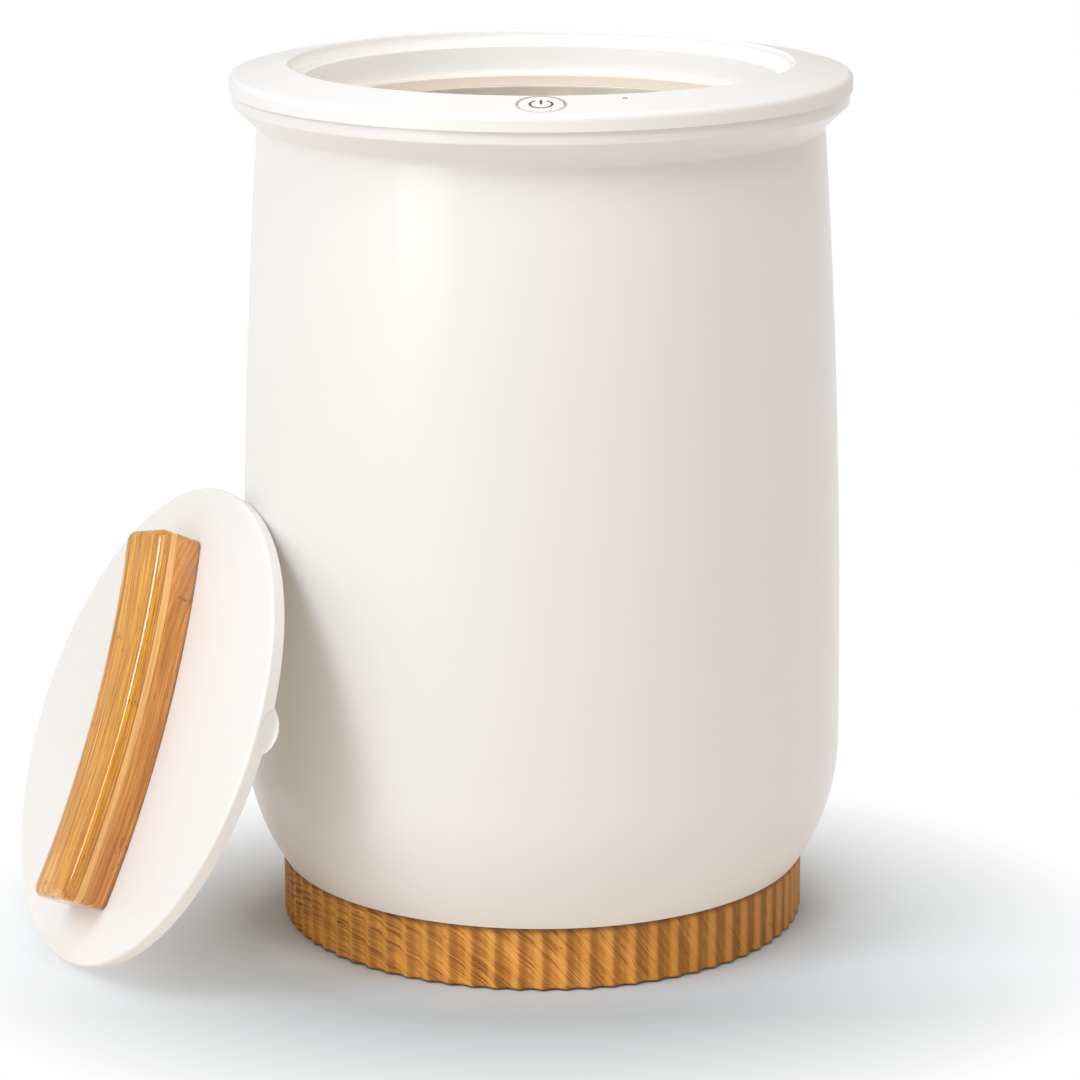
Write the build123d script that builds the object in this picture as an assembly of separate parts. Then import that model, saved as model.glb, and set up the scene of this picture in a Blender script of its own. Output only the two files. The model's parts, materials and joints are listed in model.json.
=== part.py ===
from build123d import *
import math
import os

# Towel warmer bucket: heated bucket on a bamboo base, with its lid off and leaning on the wall.
# Millimetres. Origin on the bucket's axis at the floor, +Z up, the controls face -Y.

# --- outside of the bucket ---------------------------------------------------------------------
rim_radius = 160.0            # outer radius of the control ring
rim_height = 450.0            # floor to the ring's top outer edge
ring_width = 30.5             # from the rim in to the edge where the lid drops in
ring_edge = 8.0               # height of the ring's upright outer wall
ring_slope = 10.5             # degrees the ring's top face rises towards the middle
ring_skin = 2.5               # wall of the ring moulding
ring_plate = 2.6              # thickness of the ring's sloping plate
ring_edge_round = 3.0         # round on the ring's top outer edge
weld_gap = 0.05               # between the ring's plate and the lid seat welded under it
crest_round = 1.0             # round on the edges of the lid's seat
rebate_skin = 1.9             # wall round the lid's seat
lid_seat_width = 6.5          # flat seat under the lid's edge
foot_height = 34.0            # floor to the top of the bamboo
foot_inset = 20.7             # the shell's foot is this much inside the rim
belly_height = 96.0           # where the shell is widest
belly_inset = 1.8
neck_inset = 13.8             # narrowest part of the shell, under the lip
neck_drop = 18.0              # from the lip's top down to the neck
neck_round = 5.0              # cove under the lip
lip_step = 1.4                # the shell's lip is this much smaller than the ring
lip_edge = 6.5                # upright part of the lip
lip_slant = 1.2               # the lip's inside starts this much higher than its outside
shell_wall = 2.6
shell_flange = 3.0            # thickness of the shell's bottom and top flanges
top_flange_width = 12.6       # from the lip inwards
floor_play = 0.2              # between the shell's foot and its floor ring

# --- bamboo base and feet ----------------------------------------------------------------------
bamboo_step = 0.2             # the bamboo is this much inside the shell's foot
bamboo_wall = 14.1
bamboo_lift = 0.8             # the bamboo stands this far off the floor
flute_count = 72
flute_depth = 1.5
foot_ring_width = 6.0
foot_ring_height = 3.0
foot_ring_chamfer = 0.6
groove_play = 0.1

# --- well: heated inner bucket -----------------------------------------------------------------
throat_height = 15.65         # from the collar's top, seen as a ledge in the mouth, to the lid's seat
ledge_step = 4.0              # the ledge stands in from the ring's throat
ledge_round = 0.8
well_step = 1.0               # the metal bucket is this much wider than the collar's hole
well_wall = 1.0
well_floor = 74.0             # floor to the underside of the metal bucket
well_corner = 12.0
well_flange_width = 8.0
collar_height = 5.5
collar_overhang = 0.5         # the collar covers the metal flange by this much
gasket_thickness = 0.8
gasket_inset = 0.2
clamp_thickness = 3.0
clamp_play = 0.6              # between the clamp and the metal bucket
clamp_margin = 4.0            # from the middle of a clamp screw to the clamp's edge
clamp_screw_inset = 1.5       # the clamp screws stand this much outside the lid's seat

# --- lid ---------------------------------------------------------------------------------------
lid_play = 0.8                # radial gap between the lid and its seat
lid_edge = 8.0                # height of the lid's side
lid_draft = 1.3               # the lid's underside is this much smaller in radius
lid_skin = 2.6
lid_skirt = 3.0
lid_edge_round = 1.6
tongue_drop = 5.5             # how far a tongue hangs below the lid's side
tongue_curve = 16.0           # radius of a tongue's round end
scoop_depth = 1.6
scoop_half_width = 11.0
scoop_rise = 1.0              # the scoop's middle is this far below the lid's side
pocket_side_play = 2.0        # on each side of a tongue in its pocket
pocket_floor_play = 1.0       # under a tongue in its pocket
pocket_skin = 2.5
plate_thickness = 1.5
plate_recess = 1.0
plate_screw_margin = 12.0     # from the plate's edge in to its screws
plate_screw_gap = 1.4         # skin left above the plate screws
lid_plate_head = 0.9
lid_plate_screw_count = 6
lid_plate_screw_start = 30.0
lid_gasket_width = 2.0
lid_gasket_lift = 0.2
pad_play = 0.3                # between the felt pad and what stands round it
washer_room = 6.0             # radius left free in the felt round a handle washer
washer_radius = 5.5
lid_lean = 24.1               # degrees the leaning lid is off upright
lid_heading = -153.5          # compass direction, from +X, that the lid's face looks
lid_bearing = -163.0          # compass direction of the lid's middle from the bucket's axis
lid_spin = 15.0               # turn of the handle about the lid's own axis
lid_gap = 0.4                 # between the leaning lid and the shell

# --- handle ------------------------------------------------------------------------------------
handle_chord = 192.0
handle_bow = 14.4             # how far the bar's middle bows out from its ends
handle_width = 40.0
handle_height = 24.5
handle_end_trim = 3.0         # added to the chord at each end, where the corners are rounded off
handle_end_x = -5.5           # place of the ends across the lid
handle_round = 3.6
handle_corner = 6.0
handle_screw_spread = 66.0
handle_screw_depth = 15.0
handle_screw_gap = 1.0        # left above a screw's tip in the bar
washer_thickness = 0.8

# --- controls ----------------------------------------------------------------------------------
button_inset = 17.1           # from the rim in to the button's middle
light_ring_radius = 12.4
light_ring_width = 0.9
light_ring_depth = 1.9
button_play = 0.3
button_cap_depth = 2.2
button_cap_round = 0.4
button_flange = 0.8
button_flange_play = 0.3
button_travel = 0.8
symbol_radius = 5.45
symbol_line = 1.2
symbol_mouth = 5.3            # opening at the top of the symbol's ring
symbol_bar = 6.4
symbol_bar_drop = 2.6         # the bar's middle is this far inside the symbol's ring
symbol_depth = 0.5
plunger_radius = 1.7
plunger_length = 1.6
plunger_play = 0.15
plunger_end_play = 0.2
switch_size = 6.2
switch_gap = 0.3              # between the pressed cap and the switch
control_board_depth = 6.0     # top of the board below the ring's face
board_thickness = 1.6
control_board_left = 34.0
control_board_right = 46.0
control_board_front = 14.0    # from the rim's front round in to where the board is cut straight
control_board_back_play = 0.7
control_board_rim_play = 1.0
indicator_x = 40.5
indicator_step = 12.0         # straight back from the button's line
indicator_length = 2.8
indicator_width = 2.3
led_size = 1.6
led_height = 0.9
led_inset = 1.4               # the ring's LEDs stand this far inside the light ring
guide_play = 0.1
guide_wall = 2.5
board_screw_x = 28.0
board_screw_radius = 1.1
board_screw_head = 2.2
board_screw_head_height = 1.4
board_post_radius = 2.6
board_post_top = 1.5          # the posts start this far below the ring's face
board_screw_bite = 2.6        # depth the board's screws go into their posts

# --- fasteners ---------------------------------------------------------------------------------
screw_radius = 1.5
screw_head_radius = 2.8
screw_head_height = 2.0
screw_slot_width = 0.8
screw_slot_depth = 1.6        # height of the box that cuts the cross, half of it in the head
boss_radius = 3.5
bite_play = 0.05              # a screw in its pilot hole
pass_play = 0.2               # a screw in a clearance hole
wood_screw_radius = 2.0
wood_screw_head_radius = 3.8
wood_screw_length = 20.0
wood_screw_count = 6
ring_screw_inset = 9.0        # from the rim in to the screws that hold the ring to the shell
ring_screw_bite = 4.0
ring_screw_count = 8
ring_screw_start = 22.5
clamp_screw_bite = 8.0
plate_screw_count = 6
plate_screw_start = 30.0
plate_screw_inset = 6.0       # from the bamboo's bore in to the base plate's screws
plate_boss_radius = 4.0
boss_height = 12.0
boss_roof = 2.0               # left above a blind hole

# --- inside ------------------------------------------------------------------------------------
base_plate_thickness = 3.0
base_plate_play = 0.4
bottom_flange_width = 17.0    # from the bamboo's bore inwards
vent_count = 24
vent_start = 7.5
vent_radius = 72.0
vent_length = 26.0
vent_width = 2.4
seat_inset = 6.0              # the seat's wall is this much inside the metal bucket's side
seat_wall = 2.5
seat_ledge_width = 14.0
seat_ledge_thickness = 3.0
seat_ledge_step = 1.0         # the ledge's edge is this much inside the metal bucket's side
seat_web = 1.5
cable_door_half = 8.0
cable_door_height = 28.0
belt_thickness = 1.5
belt_bottom = 100.0
belt_height = 180.0
belt_gap = 10.0               # where the belt's ends face each other
foil_play = 0.3
foil_thickness = 0.3
wrap_thickness = 10.0
wrap_bottom = 98.0
wrap_top_gap = 4.0
power_board_length = 96.0
power_board_width = 62.0
power_board_y = 20.0
board_corner = 5.0            # from the board's edges in to its screws
standoff_height = 6.0
standoff_radius = 3.2
standoff_floor = 1.5          # plate left under a stand-off's blind hole
relay_size = (19.0, 15.5, 15.0)
relay_place = (-24.0, -4.0)   # places on the board are from its middle
case_round = 0.8
terminal_size = (30.0, 9.0, 11.0)
terminal_place = (10.0, 20.0)
terminal_pitch = 10.0
terminal_window = (6.0, 8.0, 5.0)
terminal_window_height = 4.0
terminal_screw = 2.0
fuse_place = (22.0, -12.0)
fuse_length = 20.0
fuse_radius = 2.8
fuse_stand = 0.6
clip_inset = 3.0              # from the fuse's end in to the middle of a clip
clip_length = 4.0
clip_wall = 0.8
clip_height = 5.2
clip_mouth_narrow = 1.0
clip_mouth_height = 3.9
capacitor_place = (-2.0, 4.0)
capacitor_radius = 6.0
capacitor_height = 14.0
thermostat_radius = 8.0
thermostat_height = 9.0
thermostat_blade = (0.8, 6.3, 6.0)
thermostat_blade_x = 4.0
cutout_radius = 2.0
cutout_length = 16.0
sensor_x = 24.0
sensor_bead_radius = 2.5
sensor_bead_height = 5.0
sensor_bead_round = 1.2
strap_size = (14.0, 24.0)
strap_thickness = 0.8
strap_hoop_length = 5.0
earth_y = -30.0
earth_tag_radius = 5.0
earth_tag_thickness = 1.0
earth_blade = (6.3, 12.0, 0.8)
earth_blade_y = -38.0
inlet_cover_half = 17.0       # half the width of the cover that closes the notch in the shell's back
inlet_joint = 0.1             # bond line round that cover
gland_height = 92.0
gland_bore = 3.5
gland_body = 6.5
gland_flange = 9.5
gland_flange_thickness = 2.5
gland_length = 16.0
gland_pad = 12.0
gland_pad_stand = 0.8
gland_hole_play = 0.1
gland_nut_radius = 10.0
gland_nut_thickness = 4.0
cable_radius = 2.0
cable_x = -20.0
cable_bend = 22.0
cable_top_inset = 21.0        # from the rim in to where the cable leaves the control board
cable_play = 0.1
cable_straight_bottom = 120.0
cable_step = (11.0, 62.0)     # the cable has moved in this far at this height
cable_door_clear = 20.0       # the cable passes the seat this far inside it
cable_board_rise = 8.0
cable_board_reach = 6.0       # how far the cable comes in over the power board

cut_over = 1.0                # a cutting shape runs past the face it cuts by this much

# --- worked out from the sizes above -----------------------------------------------------------
slope = math.radians(ring_slope)
crest_radius = rim_radius - ring_width
crest_height = rim_height + ring_width * math.tan(slope)
rebate_height = crest_height - lid_edge
throat_radius = crest_radius - lid_seat_width
ledge_height = rebate_height - throat_height
belly_radius = rim_radius - belly_inset
neck_radius = rim_radius - neck_inset
foot_radius = rim_radius - foot_inset
lip_radius = rim_radius - lip_step
lip_top = rim_height - ring_edge
neck_height = lip_top - neck_drop
bamboo_radius = foot_radius - bamboo_step
bamboo_bore = bamboo_radius - bamboo_wall
foot_ring_radius = (bamboo_radius + bamboo_bore) / 2 - flute_depth / 2
wood_screw_pitch = (bamboo_radius + bamboo_bore) / 2
plate_screw_pitch = bamboo_bore - plate_screw_inset
bottom_flange_radius = bamboo_bore - bottom_flange_width
ledge_radius = throat_radius - ledge_step
well_radius = ledge_radius - well_step
well_flange_radius = well_radius + well_flange_width
collar_outer = well_flange_radius + collar_overhang
clamp_inner = well_radius + well_wall + clamp_play
clamp_screw_radius = crest_radius + clamp_screw_inset
clamp_outer = clamp_screw_radius + clamp_margin
ring_screw_radius = rim_radius - ring_screw_inset
lid_radius = crest_radius - lid_play
lid_back_radius = lid_radius - lid_draft
lid_plate_bottom = -lid_edge + plate_recess
lid_plate_top = lid_plate_bottom + plate_thickness
collar_bottom = ledge_height - collar_height
well_flange_top = collar_bottom - gasket_thickness
well_flange_bottom = well_flange_top - well_wall
clamp_bottom = well_flange_bottom - clamp_thickness
base_plate_bottom = foot_height - base_plate_thickness
flange_top = foot_height + shell_flange
board_bottom = foot_height + standoff_height
board_top = board_bottom + board_thickness
seat_outer = well_radius - seat_inset
seat_ledge_outer = well_radius - seat_ledge_step
seat_ledge_inner = well_radius - seat_inset - seat_ledge_width
foil_radius = well_radius + well_wall + belt_thickness + foil_play
wrap_top = clamp_bottom - screw_head_height - wrap_top_gap
button_place = rim_radius - button_inset
button_flange_radius = light_ring_radius - button_flange_play
button_under = button_cap_depth + button_flange
switch_top = button_under + button_travel + switch_gap
indicator_place = button_place - indicator_step
gland_face = belly_radius + gland_pad_stand


def tube(outer, inner, bottom, top):
    """Upright ring between two radii and two heights."""
    wall = Cylinder(outer, top - bottom) - Cylinder(inner, top - bottom + 2 * cut_over)
    return Pos(0, 0, (bottom + top) / 2) * wall


def rod(radius, bottom, top, x=0.0, y=0.0):
    """Upright round bar."""
    return Pos(x, y, (bottom + top) / 2) * Cylinder(radius, top - bottom)


def around(shape, count, start=0.0):
    """Copies of a shape, evenly spaced about the bucket's axis."""
    return [Rot(0, 0, start + 360.0 * turn / count) * shape for turn in range(count)]


def round_edges(shape, radius, height=None):
    """Circular edges of a shape that have a radius, and lie at a height if one is given."""
    found = shape.edges().filter_by(GeomType.CIRCLE)
    found = found.filter_by(lambda edge: abs(edge.radius - radius) < 0.01)
    if height is None:
        return found
    return found.filter_by(lambda edge: abs(edge.center().Z - height) < 0.01)


def spun(points):
    """Solid of revolution of a closed outline of (radius, height) corners."""
    outline = make_face(Polyline(*[(r, 0, z) for r, z in points], close=True))
    return revolve(outline, Axis.Z)


def screw(radius, length, head_radius, head_height):
    """Screw along +Z from the underside of its head at z = 0, with a cross recess."""
    body = rod(radius, 0, length) + rod(head_radius, -head_height, 0)
    slot = Pos(0, 0, -head_height) * Box(head_radius * 1.2, screw_slot_width, screw_slot_depth)
    return body - slot - Rot(0, 0, 90) * slot


def wall_arcs(inset):
    """The shell's wall, moved inwards by inset: an arc down and one up from the belly."""
    belly = (belly_radius - inset, 0, belly_height)
    down = TangentArc(belly, (foot_radius - inset, 0, foot_height), tangent=(0, 0, -1))
    up = TangentArc(belly, (neck_radius - inset, 0, neck_height), tangent=(0, 0, 1))
    return down, up


def wall_radius(height):
    """Radius of what stands at a height: bamboo, one of the wall's two arcs, or the ring."""
    if height <= foot_height:
        return bamboo_radius
    if height >= neck_height:
        return rim_radius
    end_radius, end_height = (neck_radius, neck_height)
    if height < belly_height:
        end_radius, end_height = (foot_radius, foot_height)
    fall = belly_radius - end_radius
    curve = (fall ** 2 + (end_height - belly_height) ** 2) / (2 * fall)
    return belly_radius - curve + math.sqrt(curve ** 2 - (height - belly_height) ** 2)


# --- bucket body -------------------------------------------------------------------------------
def shell_blank():
    """The whole turned wall of the shell, before anything is cut from it."""
    outer_down, outer_up = wall_arcs(0)
    inner_down, inner_up = wall_arcs(shell_wall)
    lip_bottom = lip_top - lip_edge
    top = Polyline(
        outer_up @ 1,
        (lip_radius, 0, lip_bottom),
        (lip_radius, 0, lip_top),
        (lip_radius - top_flange_width, 0, lip_top),
        (lip_radius - top_flange_width, 0, lip_top - shell_flange),
        (lip_radius - shell_wall, 0, lip_top - shell_flange),
        (lip_radius - shell_wall, 0, lip_bottom + lip_slant),
        inner_up @ 1,
    )
    bottom = Line(outer_down @ 1, inner_down @ 1)
    shell = revolve(make_face([outer_down, outer_up, top, inner_up, inner_down, bottom]), Axis.Z)
    return fillet(round_edges(shell, neck_radius), neck_round)


def inlet_notch(inset):
    """Round-topped block through the shell's back, open at the foot, smaller all round by inset."""
    half = inlet_cover_half - inset
    height = gland_height - foot_height
    block = Pos(0, belly_radius, foot_height + height / 2) * Box(2 * half, belly_radius, height)
    return block + Pos(0, belly_radius, gland_height) * Rot(90, 0, 0) * Cylinder(half, belly_radius)


def outer_shell():
    shell = shell_blank() - inlet_notch(0)
    ring_hole = rod(
        screw_radius + bite_play, lip_top - shell_flange - cut_over, lip_top + cut_over, ring_screw_radius)
    for hole in around(ring_hole, ring_screw_count, ring_screw_start):
        shell -= hole
    return shell


def inlet_cover():
    """Cover bonded into the notch in the shell's back, with a flat pad for the cord's gland."""
    across = Rot(90, 0, 0)
    cover = shell_blank() & inlet_notch(inlet_joint)
    cover += Pos(0, gland_face - shell_wall, gland_height) * across * Cylinder(gland_pad, 2 * shell_wall)
    gland_hole = Cylinder(gland_body + gland_hole_play, 2 * gland_length)
    return cover - Pos(0, gland_face, gland_height) * across * gland_hole


def shell_floor():
    """Ring bonded into the shell's foot, with the bosses for the base plate's screws."""
    floor = tube(foot_radius - shell_wall - floor_play, bottom_flange_radius, foot_height, flange_top)
    boss_top = flange_top + boss_height
    boss = rod(plate_boss_radius, foot_height, boss_top, plate_screw_pitch)
    for copy in around(boss, plate_screw_count, plate_screw_start):
        floor += copy
    pilot = rod(screw_radius + bite_play, foot_height - cut_over, boss_top - boss_roof, plate_screw_pitch)
    for hole in around(pilot, plate_screw_count, plate_screw_start):
        floor -= hole
    wood_hole = rod(
        wood_screw_radius + bite_play, foot_height - cut_over, flange_top + cut_over, wood_screw_pitch)
    for hole in around(wood_hole, wood_screw_count):
        floor -= hole
    return floor


def ring_point(radius, depth=0.0):
    """Height of the ring's sloping face at a radius, or of a copy a depth below it."""
    return rim_height + (rim_radius - radius) * math.tan(slope) - depth / math.cos(slope)


def control_plane():
    """Frame on the ring's face at the button: z out of the face, x to the right."""
    return Plane(
        origin=(0, -button_place, ring_point(button_place)),
        x_dir=(1, 0, 0),
        z_dir=(0, -math.sin(slope), math.cos(slope)),
    )


def on_face(x, place, shape):
    """Put a shape, drawn about its own origin, on the control plane."""
    return control_plane().location * (Pos(x, button_place - place, 0) * shape)


def sunk(radius, shallow, deep):
    """Round bar between two depths below the face."""
    return rod(radius, -deep, -shallow)


def ring_outline():
    """Corners of the control ring's wall: outer wall and sloping plate."""
    inner_rim = rim_radius - ring_skin
    return [
        (rim_radius, lip_top),
        (rim_radius, rim_height),
        (crest_radius, crest_height),
        (crest_radius, ring_point(crest_radius, ring_plate)),
        (inner_rim, ring_point(inner_rim, ring_plate)),
        (inner_rim, lip_top),
    ]


def seat_outline():
    """Corners of the lid seat's wall, from under the ring's plate down to the collar."""
    wall_radius_out = crest_radius + rebate_skin
    under_plate = ring_plate + weld_gap
    return [
        (crest_radius, ring_point(crest_radius, under_plate)),
        (crest_radius, rebate_height),
        (throat_radius, rebate_height),
        (throat_radius, ledge_height),
        (throat_radius + ring_skin, ledge_height),
        (throat_radius + ring_skin, rebate_height - ring_skin),
        (wall_radius_out, rebate_height - ring_skin),
        (wall_radius_out, ring_point(wall_radius_out, under_plate)),
    ]


def ring_posts():
    """Screw posts under the ring's plate: for the shell's screws and for the control board."""
    half_plate = ring_plate / 2
    envelope = spun([
        (crest_radius, crest_height - half_plate),
        (rim_radius - half_plate, ring_point(rim_radius - half_plate, half_plate)),
        (rim_radius - half_plate, lip_top),
        (crest_radius, lip_top),
    ])
    ring_post = rod(boss_radius, lip_top, crest_height, ring_screw_radius)
    posts = [post & envelope for post in around(ring_post, ring_screw_count, ring_screw_start)]
    board_post = sunk(board_post_radius, board_post_top, control_board_depth)
    for side in (-board_screw_x, board_screw_x):
        posts.append(on_face(side, button_place, board_post) & envelope)
    return posts


def seat_posts():
    """Posts for the clamp's screws and the skins round the lid's two pockets."""
    clamp_post = rod(boss_radius, well_flange_bottom, rebate_height - ring_skin / 2, clamp_screw_radius)
    posts = around(clamp_post, ring_screw_count, ring_screw_start)
    skin_outer = crest_radius + rebate_skin
    floor = pocket_floor() - pocket_skin
    skin = Box(skin_outer - throat_radius, 2 * (pocket_half() + pocket_skin), rebate_height - floor)
    for side in (-1, 1):
        block = Pos(side * (skin_outer + throat_radius) / 2, 0, (rebate_height + floor) / 2) * skin
        posts.append(block - rod(throat_radius, 0, rim_height))
    return posts


def pocket_half():
    return tongue_half_width() + pocket_side_play


def pocket_floor():
    return rebate_height - tongue_drop - pocket_floor_play


def top_ring():
    ring = spun(ring_outline())
    ring = fillet(round_edges(ring, rim_radius, rim_height), ring_edge_round)
    ring = fillet(round_edges(ring, crest_radius, crest_height), crest_round)
    for post in ring_posts():
        ring += post
    ring -= on_face(0, button_place, sunk(light_ring_radius, -2 * cut_over, control_board_depth))
    ring -= on_face(indicator_x, indicator_place, indicator_bar(control_board_depth, -3 * cut_over))
    board_hole = sunk(board_screw_radius + bite_play, board_screw_bite, control_board_depth + cut_over)
    for side in (-board_screw_x, board_screw_x):
        ring -= on_face(side, button_place, board_hole)
    ring_hole = rod(
        screw_radius + bite_play, lip_top - cut_over, lip_top + ring_screw_bite + cut_over, ring_screw_radius)
    for hole in around(ring_hole, ring_screw_count, ring_screw_start):
        ring -= hole
    return ring


def lid_seat():
    seat = spun(seat_outline())
    seat = fillet(round_edges(seat, throat_radius, rebate_height), crest_round)
    for post in seat_posts():
        seat += post
    pocket = Box(2 * crest_radius, 2 * pocket_half(), rebate_height + cut_over - pocket_floor())
    pocket = Pos(0, 0, (pocket_floor() + rebate_height + cut_over) / 2) * pocket
    seat -= pocket & rod(crest_radius - gasket_inset, 0, rim_height + ring_edge)
    seat -= on_face(0, button_place, sunk(light_ring_radius, -2 * cut_over, control_board_depth))
    clamp_hole_top = well_flange_bottom + clamp_screw_bite + boss_roof
    clamp_hole = rod(screw_radius + bite_play, clamp_bottom, clamp_hole_top, clamp_screw_radius)
    for hole in around(clamp_hole, ring_screw_count, ring_screw_start):
        seat -= hole
    return seat


def tongue_half_width():
    """Half the width of a tongue where it leaves the lid's side."""
    middle = tongue_curve - tongue_drop
    return math.sqrt(tongue_curve ** 2 - middle ** 2)


def indicator_bar(deep, shallow):
    """Slot-shaped bar of the indicator window between two depths."""
    half = (indicator_length - indicator_width) / 2
    height = deep - shallow
    middle = Pos(0, 0, -(deep + shallow) / 2)
    bar = middle * Box(2 * half, indicator_width, height)
    for side in (-half, half):
        bar += middle * Pos(side, 0, 0) * Cylinder(indicator_width / 2, height)
    return bar


# --- base --------------------------------------------------------------------------------------
def bamboo_base():
    crest = bamboo_radius
    valley = bamboo_radius - flute_depth
    step = 2 * math.pi / flute_count
    arcs = []
    for flute in range(flute_count):
        start = flute * step
        ends = [(crest * math.cos(a), crest * math.sin(a)) for a in (start, start + step)]
        low = (valley * math.cos(start + step / 2), valley * math.sin(start + step / 2))
        arcs.append(ThreePointArc(ends[0], low, ends[1]))
    blank = extrude(make_face(arcs), foot_height - bamboo_lift)
    base = Pos(0, 0, bamboo_lift) * blank
    base -= rod(bamboo_bore, 0, foot_height + cut_over)
    half = foot_ring_width / 2 + groove_play
    base -= tube(foot_ring_radius + half, foot_ring_radius - half, 0, foot_ring_height)
    hole_bottom = flange_top - wood_screw_length - cut_over
    pilot = rod(wood_screw_radius + bite_play, hole_bottom, foot_height + cut_over, wood_screw_pitch)
    for hole in around(pilot, wood_screw_count):
        base -= hole
    return base


def anti_slip_ring():
    half = foot_ring_width / 2
    ring = tube(foot_ring_radius + half, foot_ring_radius - half, 0, foot_ring_height)
    lower = ring.edges().filter_by(GeomType.CIRCLE).group_by(Axis.Z)[0]
    return chamfer(lower, foot_ring_chamfer)


def base_plate():
    plate = rod(bamboo_bore - base_plate_play, base_plate_bottom, foot_height)
    pass_hole = rod(screw_radius + pass_play, 0, flange_top, plate_screw_pitch)
    for hole in around(pass_hole, plate_screw_count, plate_screw_start):
        plate -= hole
    vent = Pos(vent_radius, 0, base_plate_bottom) * Box(vent_length, vent_width, 3 * base_plate_thickness)
    for slot in around(vent, vent_count, vent_start):
        plate -= slot
    for x, y in board_corners():
        plate += rod(standoff_radius, foot_height, board_bottom, x, y)
    hole_bottom = base_plate_bottom + standoff_floor
    for x, y in board_corners():
        plate -= rod(screw_radius + bite_play, hole_bottom, board_bottom + cut_over, x, y)
    return plate


def base_plate_screws():
    length = base_plate_thickness + shell_flange + boss_height - 2 * boss_roof
    one = screw(screw_radius, length, screw_head_radius, screw_head_height)
    one = Pos(plate_screw_pitch, 0, base_plate_bottom) * one
    return Compound(children=around(one, plate_screw_count, plate_screw_start))


def bamboo_screws():
    one = screw(wood_screw_radius, wood_screw_length, wood_screw_head_radius, screw_head_height)
    one = Pos(wood_screw_pitch, 0, flange_top) * Rot(180, 0, 0) * one
    return Compound(children=around(one, wood_screw_count))


# --- well --------------------------------------------------------------------------------------
def well_collar():
    collar = tube(collar_outer, ledge_radius, collar_bottom, ledge_height)
    return fillet(round_edges(collar, ledge_radius, ledge_height), ledge_round)


def collar_gasket():
    return tube(well_flange_radius, ledge_radius + gasket_inset, well_flange_top, collar_bottom)


def inner_bucket():
    bucket = rod(well_radius + well_wall, well_floor, well_flange_top)
    rim = bucket.edges().filter_by(GeomType.CIRCLE).group_by(Axis.Z)[0]
    bucket = fillet(rim, well_corner)
    hollow = rod(well_radius, well_floor + well_wall, ledge_height)
    rim = hollow.edges().filter_by(GeomType.CIRCLE).group_by(Axis.Z)[0]
    bucket -= fillet(rim, well_corner - well_wall)
    bucket += tube(well_flange_radius, well_radius + well_wall / 2, well_flange_bottom, well_flange_top)
    return bucket


def bucket_clamp():
    clamp = tube(clamp_outer, clamp_inner, clamp_bottom, well_flange_bottom)
    pass_hole = rod(screw_radius + pass_play, 0, rim_height, clamp_screw_radius)
    for hole in around(pass_hole, ring_screw_count, ring_screw_start):
        clamp -= hole
    return clamp


def clamp_screws():
    one = screw(screw_radius, clamp_thickness + clamp_screw_bite, screw_head_radius, screw_head_height)
    one = Pos(clamp_screw_radius, 0, clamp_bottom) * one
    return Compound(children=around(one, ring_screw_count, ring_screw_start))


def ring_screws():
    one = screw(screw_radius, shell_flange + ring_screw_bite, screw_head_radius, screw_head_height)
    one = Pos(ring_screw_radius, 0, lip_top - shell_flange) * one
    return Compound(children=around(one, ring_screw_count, ring_screw_start))


def bucket_seat():
    ledge_bottom = well_floor - seat_ledge_thickness
    seat = tube(seat_outer, seat_outer - seat_wall, flange_top, ledge_bottom)
    seat += tube(seat_ledge_outer - well_corner, seat_ledge_inner, ledge_bottom, well_floor)
    seat += tube(seat_outer, seat_ledge_inner, ledge_bottom, ledge_bottom + seat_web)
    door = Box(2 * cable_door_half, seat_outer / 2, cable_door_height)
    return seat - Pos(cable_x, -seat_outer, flange_top + cable_door_height / 2) * door


def heater_belt():
    inner = well_radius + well_wall
    belt = tube(inner + belt_thickness, inner, belt_bottom, belt_bottom + belt_height)
    gap = Box(belt_gap, inner / 2, belt_height + 2 * cut_over)
    return belt - Pos(0, inner, belt_bottom + belt_height / 2) * gap


def reflector_foil():
    return tube(foil_radius + foil_thickness, foil_radius, wrap_bottom, wrap_top)


def insulation_wrap():
    inner = foil_radius + foil_thickness
    return tube(inner + wrap_thickness, inner, wrap_bottom, wrap_top)


def thermostat():
    body = rod(thermostat_radius, well_floor - thermostat_height, well_floor)
    blade_middle = well_floor - thermostat_height - thermostat_blade[2] / 2
    for side in (-thermostat_blade_x, thermostat_blade_x):
        body += Pos(side, 0, blade_middle) * Box(*thermostat_blade)
    return body


def thermal_cutout():
    middle = well_floor - strap_thickness - cutout_radius
    return Pos(sensor_x, 0, middle) * Rot(90, 0, 0) * Cylinder(cutout_radius, cutout_length)


def sensor_strap():
    strap = Pos(sensor_x, 0, well_floor - strap_thickness / 2) * Box(*strap_size, strap_thickness)
    outer = Cylinder(cutout_radius + strap_thickness, strap_hoop_length)
    inner = Cylinder(cutout_radius + bite_play, strap_hoop_length + 2 * cut_over)
    hoop = Pos(sensor_x, 0, well_floor - strap_thickness - cutout_radius) * Rot(90, 0, 0) * (outer - inner)
    hoop -= Pos(sensor_x, 0, well_floor) * Box(*strap_size, 2 * strap_thickness)
    return strap + hoop


def heat_sensor():
    bead = rod(sensor_bead_radius, well_floor - sensor_bead_height, well_floor, -sensor_x)
    return fillet(bead.edges().filter_by(GeomType.CIRCLE).group_by(Axis.Z)[0], sensor_bead_round)


def earth_tag():
    tag = rod(earth_tag_radius, well_floor - earth_tag_thickness, well_floor, 0, earth_y)
    tag += Pos(0, earth_blade_y, well_floor - earth_tag_thickness / 2) * Box(*earth_blade)
    return tag - rod(screw_radius + bite_play, 0, well_floor + cut_over, 0, earth_y)


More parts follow.
